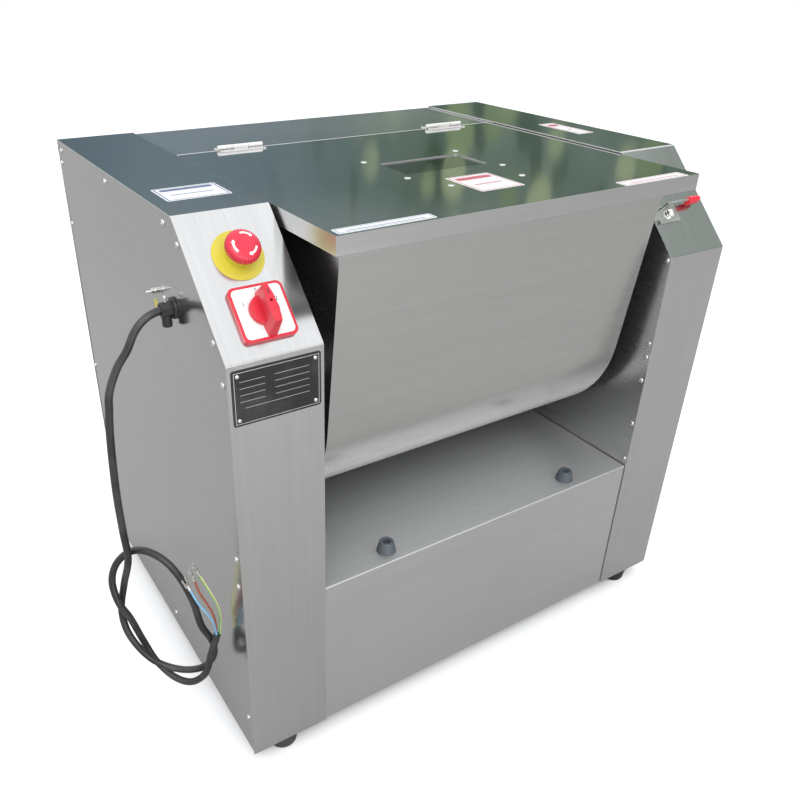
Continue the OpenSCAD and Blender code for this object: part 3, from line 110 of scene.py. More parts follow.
def make_camera():
    picture, focal, principal = 800, 792.48, (354.76, 417.24)
    yaw, pitch, roll = (math.radians(a) for a in (32.475, 29.964, 0.908))
    forward = Vector((math.sin(yaw) * math.cos(pitch), math.cos(yaw) * math.cos(pitch),
                      -math.sin(pitch)))
    level = Vector((math.cos(yaw), -math.sin(yaw), 0))
    above = level.cross(forward)
    right = math.cos(roll) * level + math.sin(roll) * above
    up = math.cos(roll) * above - math.sin(roll) * level
    camera = bpy.data.cameras.new("photo_camera")
    camera.sensor_width = 36
    camera.lens = 36 * focal / picture
    camera.shift_x = (picture / 2 - principal[0]) / picture
    camera.shift_y = (principal[1] - picture / 2) / picture
    camera.clip_start, camera.clip_end = 0.05, 50
    holder = bpy.data.objects.new("photo_camera", camera)
    bpy.context.scene.collection.objects.link(holder)
    turn = Matrix((right, up, -forward)).transposed().to_4x4()
    holder.matrix_world = Matrix.Translation(at(-279.49, -687.93, 973.49)) @ turn
    bpy.context.scene.camera = holder


make_camera()


# Working at the bench: one piece is held at a time
# Angles in degrees, distances in metres

ROUNDED_FROM, SMOOTH_ANGLE, FLAT_ANGLE = 30, 35, 0.5
SAME_PLACE, CAD_SAME_PLACE, LEVEL = 1e-6, 2e-6, 1e-5


def put_down():
    if bpy.context.mode != "OBJECT":
        bpy.ops.object.mode_set(mode="OBJECT")
    bpy.ops.object.select_all(action="DESELECT")


def hold(piece):
    put_down()
    piece.select_set(True)
    bpy.context.view_layer.objects.active = piece


def edit(piece):
    hold(piece)
    bpy.ops.object.mode_set(mode="EDIT")
    bpy.ops.mesh.select_all(action="SELECT")


def choose(piece, kind, test):
    """Selects the verts, edges or faces of the piece in edit mode that pass a test."""
    bpy.ops.mesh.select_all(action="DESELECT")
    bpy.ops.mesh.select_mode(type=kind)
    shape = bmesh.from_edit_mesh(piece.data)
    for part in {"VERT": shape.verts, "EDGE": shape.edges, "FACE": shape.faces}[kind]:
        part.select = bool(test(part))
    shape.select_flush_mode()
    bmesh.update_edit_mesh(piece.data)


def apply_modifier(piece, kind, **settings):
    tool = piece.modifiers.new(kind.lower(), kind)
    for name, value in settings.items():
        setattr(tool, name, value)
    hold(piece)
    bpy.ops.object.modifier_apply(modifier=tool.name)
    return piece


def round_edges(piece, radius, segments=2, angle=ROUNDED_FROM):
    return apply_modifier(piece, "BEVEL", width=radius * MM, segments=segments,
                          limit_method="ANGLE", angle_limit=math.radians(angle),
                          use_clamp_overlap=True)


def turned(name, profile, sides=48, ring=False):
    """A body turned about z: a circle drawn up through (radius, height) steps in millimetres.
    A ring's profile comes back to where it starts."""
    put_down()
    start, height = profile[0]
    bpy.ops.mesh.primitive_circle_add(vertices=sides, radius=start * MM)
    piece = bpy.context.object
    piece.name = name
    edit(piece)
    bpy.ops.mesh.select_mode(type="EDGE")
    bpy.ops.transform.translate(value=(0, 0, height * MM))
    for (r0, z0), (r1, z1) in zip(profile, profile[1:]):
        bpy.ops.mesh.extrude_region_move(TRANSFORM_OT_translate={"value": (0, 0, (z1 - z0) * MM)})
        bpy.ops.transform.resize(value=(r1 / r0, r1 / r0, 1), center_override=(0, 0, z1 * MM))
    if not ring:
        bpy.ops.mesh.edge_face_add()
        choose(piece, "EDGE", lambda edge: edge.is_boundary)
        bpy.ops.mesh.edge_face_add()
    bpy.ops.mesh.select_all(action="SELECT")
    bpy.ops.mesh.remove_doubles(threshold=SAME_PLACE)
    bpy.ops.mesh.normals_make_consistent(inside=False)
    put_down()
    return piece


def block(name, size, centre=(0, 0, 0)):
    """A rectangular blank in millimetres, its base on the plane of its centre."""
    put_down()
    bpy.ops.mesh.primitive_cube_add(size=1)
    piece = bpy.context.object
    piece.name = name
    edit(piece)
    bpy.ops.transform.resize(value=[side * MM for side in size], center_override=(0, 0, 0))
    x, y, base = centre
    bpy.ops.transform.translate(value=(x * MM, y * MM, (base + size[2] / 2) * MM))
    put_down()
    return piece


def plate(name, width, height, thickness, corner, corner_steps=5):
    """A flat plate with round corners about the origin, its back on z 0."""
    piece = block(name, (width, height, thickness))
    edit(piece)
    choose(piece, "EDGE", lambda edge: abs(edge.verts[0].co.z - edge.verts[1].co.z) > LEVEL)
    bpy.ops.mesh.bevel(offset=corner * MM, segments=corner_steps, affect="EDGES")
    put_down()
    return piece


def copied(piece, name, place):
    """A copy with its own mesh, put in another place."""
    twin = piece.copy()
    twin.data = piece.data.copy()
    twin.name = name
    bpy.context.scene.collection.objects.link(twin)
    twin.matrix_world = place
    return twin


def joined(name, pieces):
    hold(pieces[0])
    for piece in pieces[1:]:
        piece.select_set(True)
    if len(pieces) > 1:
        bpy.ops.object.join()
    pieces[0].name = name
    return pieces[0]


def set_of(name, pattern, places):
    """One piece made of a pattern's copies at the places; the pattern itself is thrown away."""
    made = joined(name, [copied(pattern, f"{name}_{i}", place) for i, place in enumerate(places)])
    bpy.data.objects.remove(pattern)
    return made


def fitted(piece, finish, body="cabinet", stands_for=(), place=None):
    """Puts a finished piece into the frame, its place in its mesh."""
    if place is not None:
        piece.matrix_world = place @ piece.matrix_world
    hold(piece)
    bpy.ops.object.transform_apply(location=True, rotation=True, scale=True)
    bpy.ops.object.shade_smooth_by_angle(angle=math.radians(SMOOTH_ANGLE))
    apply_modifier(piece, "WEIGHTED_NORMAL", keep_sharp=True)
    if finish is not None:
        piece.data.materials.clear()
        piece.data.materials.append(finish)
    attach(piece, body)
    if stands_for:
        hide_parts(*stands_for)
    return piece


PLACE_PLAY, SHORT_EDGE = 0.08, 20


def in_cabinet(place):
    """A place in the frame's metres, in cabinet millimetres."""
    return place.x / MM + MID_X, place.y / MM + MID_Y, place.z / MM - FOOT_H


def bevel_chosen(radius, segments=4):
    bpy.ops.mesh.bevel(offset=radius * MM, segments=segments, affect="EDGES", clamp_overlap=True)


def folded(radius, test, segments=4):
    """A first cut that rounds long edges more than the rest. The test gets an edge's two ends."""
    def cut(piece):
        choose(piece, "EDGE", lambda edge: edge.calc_length() > SHORT_EDGE * MM
               and test(*(in_cabinet(vert.co) for vert in edge.verts)))
        bevel_chosen(radius, segments)
    return cut


def near(value, *targets):
    return any(abs(value - target) < PLACE_PLAY for target in targets)


def softened(node, finish, radius=0.4, segments=2, name=None, first=None):
    """A copy of a CAD piece with its doubles merged and its edges rounded, in the piece's place."""
    source = NODES[node]
    piece = bpy.data.objects.new(name or node + "_finished", source.data.copy())
    bpy.context.scene.collection.objects.link(piece)
    edit(piece)
    bpy.ops.mesh.remove_doubles(threshold=CAD_SAME_PLACE)
    bpy.ops.mesh.dissolve_limited(angle_limit=math.radians(FLAT_ANGLE))
    if first:
        first(piece)
    put_down()
    if radius:
        round_edges(piece, radius, segments)
    return fitted(piece, finish, source["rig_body"], [node])


# Finishes: shader boards built from a few shared groups

def add(tree, kind, values=(), settings=None, **named):
    """Adds a node to a board. A value that is an output is linked, another is set on the socket."""
    made = tree.nodes.new("ShaderNode" + kind)
    for name, value in (settings or {}).items():
        setattr(made, name, value)
    pairs = [(made.inputs[i], value) for i, value in enumerate(values) if value is not None]
    pairs += [(made.inputs[name.replace("_", " ")], value) for name, value in named.items()]
    for socket, value in pairs:
        if isinstance(value, bpy.types.NodeSocket):
            tree.links.new(value, socket)
        else:
            socket.default_value = value
    return made


def group(name, inputs, outputs, build):
    """A shader group with named sockets; build gets its board and inputs, and gives its outputs."""
    tree = bpy.data.node_groups.new(name, "ShaderNodeTree")
    for label, kind, value in inputs:
        socket = tree.interface.new_socket(label, in_out="INPUT", socket_type="NodeSocket" + kind)
        if value is not None:
            socket.default_value = value
    for label, kind in outputs:
        tree.interface.new_socket(label, in_out="OUTPUT", socket_type="NodeSocket" + kind)
    entry, way_out = tree.nodes.new("NodeGroupInput"), tree.nodes.new("NodeGroupOutput")
    for label, result in build(tree, entry.outputs).items():
        tree.links.new(result, way_out.inputs[label])
    return tree


def use(tree, made, **named):
    return add(tree, "Group", settings={"node_tree": made}, **named).outputs


def math_node(tree, operation, *values):
    return add(tree, "Math", values, {"operation": operation}).outputs[0]


def spread(tree, value, low, high, to_low=0.0, to_high=1.0):
    """Stretches the part of a value between low and high over another range."""
    return add(tree, "MapRange", [value, low, high, to_low, to_high], {"clamp": True}).outputs[0]


def tint(tree, factor, first, second):
    made = add(tree, "Mix", settings={"data_type": "RGBA"})
    for index, value in ((0, factor), (6, first), (7, second)):
        socket = made.inputs[index]
        if isinstance(value, bpy.types.NodeSocket):
            tree.links.new(value, socket)
        else:
            socket.default_value = value
    return made.outputs[2]


def noise(tree, vector, scale, detail=2.0, rough=0.5, distort=0.0):
    return add(tree, "TexNoise", Vector=vector, Scale=scale, Detail=detail, Roughness=rough,
               Distortion=distort).outputs[0]


def sheet_grain(tree, given):
    """Brushing lines. The vector comes stretched, long along the grain and short across it."""
    coarse = noise(tree, given["Vector"], 0.35, 3, 0.6)
    fine = noise(tree, given["Vector"], 1.3, 2, 0.6)
    both = math_node(tree, "ADD", math_node(tree, "MULTIPLY", coarse, 0.6),
                     math_node(tree, "MULTIPLY", fine, 0.4))
    return {"Lines": spread(tree, both, 0.3, 0.7)}


def handling_marks(tree, given):
    """Soft blotches and wiped streaks that hands and cloths leave on bare metal."""
    blotch = spread(tree, noise(tree, given["Vector"], given["Scale"], 4, 0.55, 0.7), 0.46, 0.72)
    wiped = add(tree, "Mapping", settings={"vector_type": "TEXTURE"}, Vector=given["Vector"],
                Rotation=(0.4, 0.3, 0.7), Scale=(4, 1, 1)).outputs[0]
    streak = spread(tree, noise(tree, wiped, given["Scale"], 3, 0.6), 0.5, 0.75)
    return {"Marks": math_node(tree, "MULTIPLY",
                               math_node(tree, "MAXIMUM", blotch, streak), given["Amount"])}


def moulded_skin(tree, given):
    """Fine texture of moulded rubber and plastic, with the dust that settles in it."""
    pits = noise(tree, given["Vector"], given["Scale"], 3, 0.65)
    broad = noise(tree, given["Vector"], 22.0, 4, 0.6, 0.3)
    return {"Height": pits, "Dust": spread(tree, broad, 0.45, 0.78)}


def chipped_edge(tree, given):
    """Where paint is rubbed or chipped: flecks in large uneven patches."""
    patch = spread(tree, noise(tree, given["Vector"], 9.0, 3, 0.6), 0.52, 0.7)
    fleck = spread(tree, noise(tree, given["Vector"], 160.0, 3, 0.7), 0.56, 0.62)
    return {"Mask": math_node(tree, "MULTIPLY", patch, fleck)}


GRAIN = group("Sheet grain", [("Vector", "Vector", None)], [("Lines", "Float")], sheet_grain)
MARKS = group("Handling marks",
              [("Vector", "Vector", None), ("Scale", "Float", 6.0), ("Amount", "Float", 1.0)],
              [("Marks", "Float")], handling_marks)
SKIN = group("Moulded skin", [("Vector", "Vector", None), ("Scale", "Float", 900.0)],
             [("Height", "Float"), ("Dust", "Float")], moulded_skin)
CHIPS = group("Chipped paint", [("Vector", "Vector", None)], [("Mask", "Float")], chipped_edge)


DUST_COLOUR, BARE_METAL = (0.36, 0.34, 0.31, 1), (0.32, 0.3, 0.28, 1)
# Colour of the painted highlight on the faces that look down
PAINTED_BELLY_HIGHLIGHT = (0.92, 0.92, 0.93, 1)


def new_finish(name):
    finish = bpy.data.materials.new(name)
    finish.use_nodes = True
    tree = finish.node_tree
    tree.nodes.clear()
    surface = add(tree, "BsdfPrincipled")
    tree.links.new(surface.outputs[0], add(tree, "OutputMaterial").inputs[0])
    where = add(tree, "TexCoord").outputs["Object"]
    return finish, tree, surface, where


def connect(tree, surface, **named):
    for name, value in named.items():
        socket = surface.inputs[name.replace("_", " ")]
        if isinstance(value, bpy.types.NodeSocket):
            tree.links.new(value, socket)
        else:
            socket.default_value = value


def bump(tree, height, depth, strength=1.0, over=None):
    """depth is the full height of the relief in millimetres."""
    made = add(tree, "Bump", Strength=strength, Distance=depth * MM, Height=height)
    if over is not None:
        tree.links.new(over, made.inputs["Normal"])
    return made.outputs[0]


def shade(colour, share):
    return (colour[0] * share, colour[1] * share, colour[2] * share, 1)


def sheet_steel(name, colour, rough, grain, grain_depth=0.006, wave=0.5, marks=0.5,
                spread_rough=0.08, top=None, metal=1.0, painted_highlight=0.0):
    """Stainless sheet. grain is the stretch of the brushing lines along x, y and z, and top is
    another roughness for the faces that look up. The last argument is the strength of a painted
    highlight on the faces that look down: a paler colour and less metal."""
    finish, tree, surface, where = new_finish(name)
    stretched = add(tree, "Mapping", Vector=where, Scale=grain).outputs[0]
    lines = use(tree, GRAIN, Vector=stretched)["Lines"]
    smears = use(tree, MARKS, Vector=where, Scale=6.0, Amount=marks)["Marks"]
    waves = noise(tree, where, 2.6, 1.5, 0.4)
    toned = tint(tree, lines, shade(colour, 0.94), shade(colour, 1.04))
    toned = tint(tree, math_node(tree, "MULTIPLY", smears, 0.3), toned, shade(colour, 0.75))
    worked = math_node(tree, "ADD", math_node(tree, "MULTIPLY", lines, 0.35),
                       math_node(tree, "MULTIPLY", smears, 0.65))
    relief = bump(tree, lines, grain_depth, over=bump(tree, waves, wave))
    dull = spread(tree, worked, 0, 1, rough, rough + spread_rough)
    if top is not None:
        upward = add(tree, "SeparateXYZ", [add(tree, "TexCoord").outputs["Normal"]]).outputs["Z"]
        flat = spread(tree, worked, 0, 1, top, top + spread_rough * 0.6)
        share = spread(tree, upward, 0.85, 0.97)
        dull = math_node(tree, "ADD", math_node(tree, "MULTIPLY", flat, share),
                         math_node(tree, "MULTIPLY", dull, math_node(tree, "SUBTRACT", 1.0, share)))
    # Painted highlight: the faces that look down are tinted towards a pale colour and made less
    # metallic
    if painted_highlight:
        downward = add(tree, "SeparateXYZ", [add(tree, "TexCoord").outputs["Normal"]]).outputs["Z"]
        share = math_node(tree, "MULTIPLY", spread(tree, downward, -0.25, -0.6), painted_highlight)
        toned = tint(tree, share, toned, PAINTED_BELLY_HIGHLIGHT)
        metal = spread(tree, share, 0, 1, metal, 0.35)
    connect(tree, surface, Base_Color=toned, Metallic=metal, Normal=relief, Roughness=dull)
    return finish


def bright_metal(name, colour, rough, grain=(60, 60, 60), tarnish=0.3, relief_depth=0.004):
    """Machined, plated or cast metal of a small part."""
    finish, tree, surface, where = new_finish(name)
    stretched = add(tree, "Mapping", Vector=where, Scale=grain).outputs[0]
    lines = use(tree, GRAIN, Vector=stretched)["Lines"]
    dull = use(tree, MARKS, Vector=where, Scale=45.0, Amount=1.0)["Marks"]
    toned = tint(tree, math_node(tree, "MULTIPLY", dull, tarnish), colour, shade(colour, 0.45))
    connect(tree, surface, Base_Color=toned, Metallic=1.0, Normal=bump(tree, lines, relief_depth),
            Roughness=spread(tree, dull, 0, 1, rough, rough + 0.2))
    return finish


def moulded(name, colour, rough, skin=900.0, skin_depth=0.02, dust=0.25, coat=0.0):
    """Rubber or plastic with a moulded skin and a little dust."""
    finish, tree, surface, where = new_finish(name)
    texture = use(tree, SKIN, Vector=where, Scale=skin)
    dusty = math_node(tree, "MULTIPLY", texture["Dust"], dust)
    mottled = tint(tree, texture["Height"], shade(colour, 0.88), shade(colour, 1.1))
    connect(tree, surface, Base_Color=tint(tree, dusty, mottled, DUST_COLOUR),
            Roughness=spread(tree, dusty, 0, 1, rough, min(1.0, rough + 0.3)),
            Normal=bump(tree, texture["Height"], skin_depth), Coat_Weight=coat, Coat_Roughness=0.12)
    return finish


def enamel(name, colour, rough=0.38, worn=0.7):
    """Sprayed enamel with orange peel, worn through in flecks."""
    finish, tree, surface, where = new_finish(name)
    chips = math_node(tree, "MULTIPLY", use(tree, CHIPS, Vector=where)["Mask"], worn)
    grime = use(tree, MARKS, Vector=where, Scale=11.0, Amount=0.5)["Marks"]
    painted = tint(tree, grime, colour, shade(colour, 0.55))
    ripple = noise(tree, where, 240.0, 1.5, 0.5)
    connect(tree, surface, Base_Color=tint(tree, chips, painted, BARE_METAL), Metallic=chips,
            Roughness=spread(tree, grime, 0, 1, rough, rough + 0.2),
            Normal=bump(tree, ripple, 0.05))
    return finish


def clear_plastic(name, colour, scuff=0.03):
    """Clear sheet with faint wipe marks."""
    finish, tree, surface, where = new_finish(name)
    smears = use(tree, MARKS, Vector=where, Scale=14.0, Amount=0.6)["Marks"]
    connect(tree, surface, Base_Color=colour, Transmission_Weight=1.0, IOR=1.49, Metallic=0.0,
            Roughness=spread(tree, smears, 0, 1, scuff, scuff + 0.08))
    return finish


STEEL = (0.60, 0.602, 0.60, 1)
COVER_STEEL = sheet_steel("Column cover steel", STEEL, 0.16, (420, 9, 9), top=0.06, marks=0.4)
PANEL_STEEL = sheet_steel("Side panel steel", (0.585, 0.582, 0.578, 1), 0.15, (9, 7, 520), wave=0.4,
                          marks=0.35)
INNER_STEEL = sheet_steel("Inner panel steel", (0.62, 0.622, 0.625, 1), 0.26, (9, 7, 480))
LID_STEEL = sheet_steel("Lid steel", (0.60, 0.602, 0.60, 1), 0.28, (8, 480, 480), grain_depth=0.004,
                        wave=0.55, marks=0.35, spread_rough=0.07, top=0.06)
REAR_TOP_STEEL = sheet_steel("Rear plate steel", (0.64, 0.642, 0.645, 1), 0.28, (8, 480, 480),
                             grain_depth=0.004, marks=0.35, top=0.15)
# The trough's lower curve gets a painted highlight on its faces that look down
TROUGH_STEEL = sheet_steel("Trough steel", (0.565, 0.562, 0.552, 1), 0.24, (7, 460, 460), wave=0.6,
                           painted_highlight=0.8)
FRONT_STEEL = sheet_steel("Front panel steel", (0.545, 0.552, 0.552, 1), 0.22, (7, 460, 460),
                          wave=0.5, top=0.5, metal=0.85)
REAR_STEEL = sheet_steel("Rear panel steel", (0.55, 0.55, 0.54, 1), 0.26, (7, 9, 480), wave=0.8)
BRIGHT_STEEL = bright_metal("Bright screw steel", (0.80, 0.80, 0.78, 1), 0.16)
HINGE_STEEL = bright_metal("Hinge steel", (0.84, 0.83, 0.82, 1), 0.22, (20, 400, 400))
LATCH_STEEL = bright_metal("Latch steel", (0.74, 0.74, 0.72, 1), 0.2, (200, 60, 60))
SHAFT_STEEL = bright_metal("Turned shaft steel", (0.66, 0.66, 0.65, 1), 0.2, (700, 14, 14), 0.15)
PADDLE_STEEL = bright_metal("Paddle steel", (0.62, 0.62, 0.6, 1), 0.3, (90, 90, 90), 0.25, 0.02)
LUG_TIN = bright_metal("Tinned lug", (0.78, 0.77, 0.75, 1), 0.24, tarnish=0.4)
BRONZE = bright_metal("Bush bronze", (0.62, 0.43, 0.18, 1), 0.26, (300, 30, 30), 0.5)
CAST_IRON = bright_metal("Machined cast iron", (0.26, 0.26, 0.27, 1), 0.42, (110, 110, 110), 0.5,
                         0.03)
FRAME_PAINT = enamel("Frame primer", (0.09, 0.10, 0.115, 1), 0.5, worn=0.5)
MOTOR_PAINT = enamel("Motor enamel", (0.075, 0.15, 0.24, 1), 0.34)
BEARING_PAINT = enamel("Bearing enamel", (0.07, 0.12, 0.18, 1), 0.4)
FOOT_RUBBER = moulded("Foot rubber", (0.016, 0.016, 0.017, 1), 0.45, 700, 0.03, 0.3)
BUMPER_RUBBER = moulded("Bumper rubber", (0.06, 0.075, 0.09, 1), 0.5, 800, 0.02, 0.15)
SEAL_RUBBER = moulded("Seal rubber", (0.03, 0.03, 0.03, 1), 0.5)
BELT_RUBBER = moulded("Belt rubber", (0.018, 0.018, 0.018, 1), 0.6, 500, 0.05, 0.4)
CORD_SHEATH = moulded("Cord sheath", (0.018, 0.018, 0.02, 1), 0.36, 420, 0.03, 0.14)
GLAND_NYLON = moulded("Gland nylon", (0.02, 0.02, 0.022, 1), 0.38, 1200, 0.015, 0.15)
PLATE_BLACK = moulded("Nameplate lacquer", (0.012, 0.012, 0.014, 1), 0.28, 1500, 0.004, 0.1)
PLATE_SILVER = bright_metal("Nameplate silver", (0.72, 0.72, 0.72, 1), 0.3, (300, 60, 60))
ESTOP_YELLOW = moulded("Signal yellow", (0.60, 0.53, 0.05, 1), 0.36, 1300, 0.008, 0.08)
ESTOP_RED = moulded("Button red", (0.62, 0.02, 0.05, 1), 0.3, 1300, 0.008, 0.05)
SWITCH_RED = moulded("Bezel red", (0.60, 0.015, 0.035, 1), 0.3, 1300, 0.008, 0.05)
SWITCH_WHITE = moulded("Switch face white", (0.80, 0.80, 0.79, 1), 0.4, 1300, 0.004, 0.06)
SWITCH_GREY = moulded("Switch body grey", (0.10, 0.10, 0.11, 1), 0.45)
INK = moulded("Printed ink", (0.02, 0.02, 0.025, 1), 0.5, 1300, 0.002, 0.0)
ARROW_WHITE = moulded("Arrow white", (0.86, 0.85, 0.84, 1), 0.4, 1300, 0.004, 0.0)
LABEL_WHITE = moulded("Label vinyl", (0.80, 0.81, 0.82, 1), 0.3, 900, 0.004, 0.06)
LABEL_BLUE = moulded("Label blue", (0.10, 0.13, 0.25, 1), 0.32, 900, 0.004, 0.03)
LABEL_ROSE = moulded("Label rose", (0.55, 0.10, 0.14, 1), 0.32, 900, 0.004, 0.03)
CLEAR_ACRYLIC = clear_plastic("Clear acrylic", (0.92, 0.95, 0.95, 1))
GRIP_RED = moulded("Dipped grip", (0.72, 0.012, 0.03, 1), 0.26, 500, 0.03, 0.04, coat=0.3)
WIRE_BLUE = moulded("Wire blue", (0.20, 0.42, 0.62, 1), 0.38, 600, 0.02, 0.05)
WIRE_BROWN = moulded("Wire brown", (0.33, 0.09, 0.05, 1), 0.38, 600, 0.02, 0.05)
WIRE_YELLOW = moulded("Wire yellow", (0.74, 0.70, 0.28, 1), 0.38, 600, 0.02, 0.05)
WIRE_GREEN = moulded("Wire green", (0.10, 0.36, 0.12, 1), 0.38, 600, 0.02, 0.05)


# Supply cord, with the wires at its stripped end

CORD_ROUTE = [
    (-14, 144, 624.3), (-24.8, 144, 621.9), (-33.7, 144, 618), (-42.2, 144, 611.4),
    (-50.3, 144, 601.4), (-59.6, 144.5, 583.7), (-74.2, 145, 563.5), (-86.4, 145.5, 535.5),
    (-90, 146, 511), (-93, 147, 480), (-95.5, 147, 437), (-97, 147, 387), (-96.5, 147.5, 337),
    (-95.5, 149, 289), (-102, 169, 233), (-110, 174, 186), (-107, 164, 145), (-87, 146, 105),
    (-59, 122, 91), (-33, 98, 100), (-18, 83, 126), (-17, 78, 159), (-29, 83, 193), (-35, 87, 234),
    (-45, 95, 272), (-57, 114, 294), (-73, 139, 300), (-90, 159, 292), (-107, 172, 269),
    (-116, 173, 241), (-114, 164, 210), (-103, 160, 179), (-89, 166, 123), (-79, 150, 92),
    (-64, 121, 78), (-48, 94, 85), (-33, 75, 112), (-25, 67, 152), (-18, 67, 170), (-13, 68, 182)]
WIRE_ROUTES = {
    "wire_blue": [(-15, 66, 183), (-17, 64, 198), (-20, 60, 214), (-27, 58, 232), (-37, 62, 254),
                  (-43, 69, 273)],
    "wire_brown": [(-13, 71, 183), (-13, 71, 200), (-16, 69, 218), (-22, 68, 238), (-30, 70, 260),
                   (-35, 73, 282)],
    "wire_earth": [(-10, 67, 182), (-9, 65, 200), (-8, 64, 216), (-11, 65, 238), (-19, 70, 263),
                   (-27, 75, 286)]}
WIRE_FINISH = {"wire_blue": WIRE_BLUE, "wire_brown": WIRE_BROWN, "wire_earth": WIRE_YELLOW}
# The sheath is drawn a little thinner, so that its facets stay inside the solid's
CORD_D, WIRE_D, DRAWN_SHARE = 10.0, 3.0, 0.967


def smooth_route(route, steps):
    """Points of a smooth curve through the route's points, in the frame's metres."""
    points = [at(*p) for p in route]
    padded = [2 * points[0] - points[1]] + points + [2 * points[-1] - points[-2]]
    line = []
    for a, b, c, d in zip(padded, padded[1:], padded[2:], padded[3:]):
        for step in range(steps):
            t = step / steps
            line.append((2 * b + (c - a) * t + (2 * a - 5 * b + 4 * c - d) * t * t
                         + (3 * b - a - 3 * c + d) * t ** 3) / 2)
    return line + [points[-1]]


def drawn_tube(name, line, diameter, sides_step=5):
    """A round tube along a line, closed at both ends."""
    curve = bpy.data.curves.new(name, "CURVE")
    curve.dimensions = "3D"
    curve.bevel_depth = diameter / 2 * MM
    curve.bevel_resolution = sides_step
    curve.use_fill_caps = True
    spline = curve.splines.new("POLY")
    spline.points.add(len(line) - 1)
    for point, place in zip(spline.points, line):
        point.co = (*place, 1)
    piece = bpy.data.objects.new(name, curve)
    bpy.context.scene.collection.objects.link(piece)
    hold(piece)
    bpy.ops.object.convert(target="MESH")
    piece = bpy.context.object
    edit(piece)
    bpy.ops.mesh.remove_doubles(threshold=SAME_PLACE)
    bpy.ops.mesh.normals_make_consistent(inside=False)
    put_down()
    return piece


def make_cord():
    line = smooth_route(CORD_ROUTE, 8)
    cord = fitted(drawn_tube("supply_cord_sheath", line, DRAWN_SHARE * CORD_D), CORD_SHEATH,
                  stands_for=["supply_cord"])
    going = []
    for name, route in WIRE_ROUTES.items():
        wire = drawn_tube(name, smooth_route(route, 6), WIRE_D, 4)
        going.append(fitted(wire, WIRE_FINISH[name],
                            stands_for=["cord_wires"]))
    stripe = going[-1]
    stripe.data.materials.append(WIRE_GREEN)
    for face in stripe.data.polygons:
        if face.normal.dot(Vector((-0.6, -0.75, 0.25))) > 0.72:
            face.material_index = 1
    lugs = softened("fork_lugs", LUG_TIN, 0.15, name="wire_lugs")
    length = sum((b - a).length for a, b in zip(line, line[1:]))
    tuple(line[0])


make_cord()


# Sheet steel of the cabinet

def below_skin(y, z):
    """How far a place lies inside the side view of a column."""
    slope = (y * SLOPE_RISE - (z - FRONT_H) * SLOPE_RUN) / SLOPE_LEN
    return max(0, min(y, CABINET_H - z, slope))


def on_skin(y, z):
    return below_skin(y, z) < PLACE_PLAY


FOLD_R, WRAP_R, WRAP_T, TOP_R, LEDGE_R = 2.4, 1.35, 0.9, 1.3, 2.0


def cover_folds(sides):
    """Rounds a cover's folds, then the long edges of its wrap."""
    def across_fold(a, b):
        level = near(a[1], b[1]) and near(a[2], b[2]) and on_skin(*a[1:])
        top = near(a[2], CABINET_H) and near(a[1], SLOPE_RUN)
        return level and (top or near(a[2], FRONT_H) and near(a[1], 0))

    def along_wrap(edge):
        ends = [in_cabinet(vert.co) for vert in edge.verts]
        return (all(below_skin(y, z) < WRAP_T and any(near(x, side) for side in sides)
                    for x, y, z in ends)
                and any(z >= 1 for x, y, z in ends)
                and any(y <= CABINET_D - 2 for x, y, z in ends)
                and abs(edge.verts[0].co.x - edge.verts[1].co.x) < LEVEL)

    def cut(piece):
        folded(FOLD_R, across_fold)(piece)
        choose(piece, "EDGE", along_wrap)
        bevel_chosen(WRAP_R)
    return cut


def top_folds(y, height):
    """The edges of a sheet's upper face, but its ends at the back."""
    return folded(TOP_R, lambda a, b: near(a[2], height) and near(b[2], height)
                  and (near(a[0], b[0]) or near(a[1], y) and near(b[1], y)))


SHEETS = [
    ("left_column_cover", COVER_STEEL, 0.12, cover_folds((0, COLUMN_W))),
    ("right_column_cover", COVER_STEEL, 0.12, cover_folds((CABINET_W - COLUMN_W, CABINET_W))),
    ("left_side_panel", PANEL_STEEL, 0.4, None), ("right_side_panel", PANEL_STEEL, 0.4, None),
    ("left_inner_panel", INNER_STEEL, 0.4, None), ("right_inner_panel", INNER_STEEL, 0.4, None),
    ("front_panel", FRONT_STEEL, 0.35,
     folded(LEDGE_R, lambda a, b: near(a[2], LEDGE_Z) and near(b[2], LEDGE_Z) and a[1] < 20
            and near(a[1], b[1]))),
    ("rear_panel", REAR_STEEL, 0.4, None),
    ("rear_top_plate", REAR_TOP_STEEL, 0.15, top_folds(419, LID_Z)),
    ("lid", LID_STEEL, 0.15, top_folds(-17, LID_Z)), ("window_pane", CLEAR_ACRYLIC, 0.3, None),
    ("trough", TROUGH_STEEL, 0.6, None), ("trunnions", SHAFT_STEEL, 0.5, None)]
for sheet, finish, radius, first in SHEETS:
    softened(sheet, finish, radius, 2, name=sheet + "_sheet" if sheet != "trunnions" else None,
             first=first)

